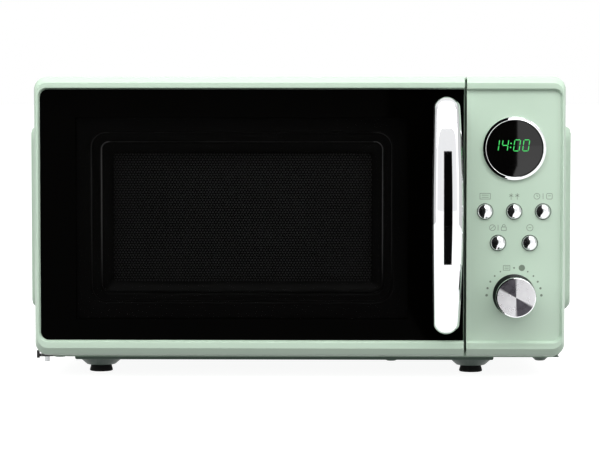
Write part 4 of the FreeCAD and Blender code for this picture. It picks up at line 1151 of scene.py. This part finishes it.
casing()

slots = {part["node"]: part["material_slot"] for part in frame["record"]["subparts"]}
# the base pan takes the underside finish, whose dark grey-green is painted shade
for node, name, width in (("rear_panel", "back_panel", 0.3 * MM),
                          ("base_plate", "base_pan", 0.4 * MM),
                          ("rubber_feet", "rubber_pads", 0.4 * MM)):
    softened = piece(name, merged_copy(node), "cabinet", slots[node], [node],
                     finish=UNDERSIDE_PAINTED_SHADE if node == "base_plate" else None)
    soften(softened, width)


# ---------------------------------------------------------------- studio

def stage_sheet(name, low, high, tone, rough, glow=0.0, glossy_only=False, one_sided=False,
                near=None):
    """A flat sheet of the studio, which isn't part of the oven.

    A one-sided sheet acts on its +X side. near gives the ends in X of the edge beside the oven,
    where they differ from the far edge's.
    """
    bm = bmesh.new()
    made = bmesh.ops.create_grid(bm, x_segments=1, y_segments=1, size=0.5)["verts"]
    low, high = Vector(low), Vector(high)
    size = high - low
    for vert in made:
        u, v = vert.co.x + 0.5, vert.co.y + 0.5
        if not size.z:
            share = Vector((u, v, 0))
        elif size.x:
            share = Vector((u, 0, v))
        else:
            share = Vector((0, u, v))
        vert.co = low + Vector((size.x * share.x, size.y * share.y, size.z * share.z))
        if near and share.y > 0.5:
            vert.co.x = near[1] if share.x > 0.5 else near[0]
    mesh = bpy.data.meshes.new(name)
    bm.to_mesh(mesh)
    bm.free()
    finish = Finish(name + "_paint")
    cloud = finish.noise(3.0, 2.0)
    shader = finish.add("ShaderNodeBsdfPrincipled", None, {
        "Base Color": finish.mix(cloud, (tone * 0.99,) * 3 + (1,), (tone,) * 3 + (1,)),
        "Roughness": rough + cloud * 0.02, "Specular IOR Level": 0.0,
        "Emission Color": (1, 1, 1, 1), "Emission Strength": glow}).outputs[0]
    if one_sided:
        clear = finish.add("ShaderNodeBsdfTransparent").outputs[0]
        back = finish.add("ShaderNodeNewGeometry").outputs["Backfacing"]
        shader = finish.add("ShaderNodeMixShader", None, {0: back, 1: shader, 2: clear}).outputs[0]
    finish.add("ShaderNodeOutputMaterial", None, {"Surface": shader})
    mesh.materials.append(finish.material)
    sheet = bpy.data.objects.new(name, mesh)
    bpy.context.scene.collection.objects.link(sheet)
    if glossy_only:
        sheet.visible_camera = False
        sheet.visible_diffuse = False
        sheet.visible_shadow = False
        sheet.visible_transmission = False
        sheet.visible_volume_scatter = False
    return sheet


def softbox(name, place, target, width, height, power):
    data = bpy.data.lights.new(name, "AREA")
    data.shape = "RECTANGLE"
    data.size = width
    data.size_y = height
    data.energy = power
    lamp = bpy.data.objects.new(name, data)
    bpy.context.scene.collection.objects.link(lamp)
    lamp.location = place
    lamp.rotation_euler = (Vector(target) - Vector(place)).to_track_quat("-Z", "Y").to_euler()


FLAG_TONE, FLAG_ROUGH = 0.002, 0.9

floor = stage_sheet("floor", (-60, -60, 0), (60, 60, 0), 0.3, 0.7, glow=0.92)
floor.visible_diffuse = False
# black flags that only reflections see: they draw the dark bands in the chrome
stage_sheet("front_flag", (0.098, -1.35, -0.3), (0.30, -1.35, 0.78), FLAG_TONE, FLAG_ROUGH,
            glossy_only=True)
stage_sheet("floor_flag", (0.098, -1.36, 0.0015), (0.30, -0.40, 0.0015), FLAG_TONE, FLAG_ROUGH,
            glossy_only=True, near=(0.120, 0.158))
stage_sheet("side_flag", (0.1408, -1.36, -0.1), (0.1408, -0.1515, 0.9), FLAG_TONE, FLAG_ROUGH,
            glossy_only=True, one_sided=True)
for side in (-1, 1):
    stage_sheet("grey_card_%s" % ("left" if side < 0 else "right"), (1.3 * side, -0.7, 0.02),
                (1.3 * side, 1.3, 1.3), 0.3, 0.9, glow=0.5, glossy_only=True)

softbox("top_light", (0.0, -0.9, 1.9), (0, 0, 0.1), 2.2, 1.4, 6)
softbox("brow_light", (0.05, -0.50, 0.62), (0.05, -0.15, 0.23), 1.5, 0.25, 3.4)
softbox("right_light", (1.7, -1.1, 0.8), (0.05, -0.1, 0.14), 1.2, 1.6, 3)
softbox("left_light", (-1.7, -1.1, 0.8), (-0.05, -0.1, 0.14), 1.0, 1.6, 1.5)


def white_room():
    """White surroundings over a dim ground, with a soft edge just under the horizon."""
    world = bpy.data.worlds.new("studio")
    bpy.context.scene.world = world
    world.use_nodes = True
    tree = world.node_tree
    sky = tree.nodes["Background"]
    around = tree.nodes.new("ShaderNodeTexCoord")
    split = tree.nodes.new("ShaderNodeSeparateXYZ")
    tree.links.new(around.outputs["Generated"], split.inputs[0])
    ramp = tree.nodes.new("ShaderNodeValToRGB")
    for stop, position, grey in zip(ramp.color_ramp.elements, (0.46, 0.49), (0.12, 1)):
        stop.position = position
        stop.color = (grey, grey, grey, 1)
    height = tree.nodes.new("ShaderNodeMath")
    height.operation = "MULTIPLY_ADD"
    height.inputs[1].default_value = 0.5
    height.inputs[2].default_value = 0.5
    tree.links.new(split.outputs[2], height.inputs[0])
    tree.links.new(height.outputs[0], ramp.inputs[0])
    tree.links.new(ramp.outputs[0], sky.inputs["Color"])
    sky.inputs["Strength"].default_value = 1.0
    bpy.context.scene.view_settings.view_transform = "Standard"


def front_camera():
    """Long lens two metres away, a little to the right and looking slightly down."""
    distance, aside, down = 2.0, math.radians(1.0), math.radians(3.13)
    data = bpy.data.cameras.new("camera")
    data.sensor_width = 36
    data.lens = 141.2
    camera = bpy.data.objects.new("camera", data)
    bpy.context.scene.collection.objects.link(camera)
    camera.location = (0.0006 + distance * math.sin(aside),
                       LIP_Y - distance * math.cos(aside), 0.242)
    camera.rotation_euler = (math.radians(90) - down, 0, aside)
    bpy.context.scene.camera = camera


white_room()
front_camera()
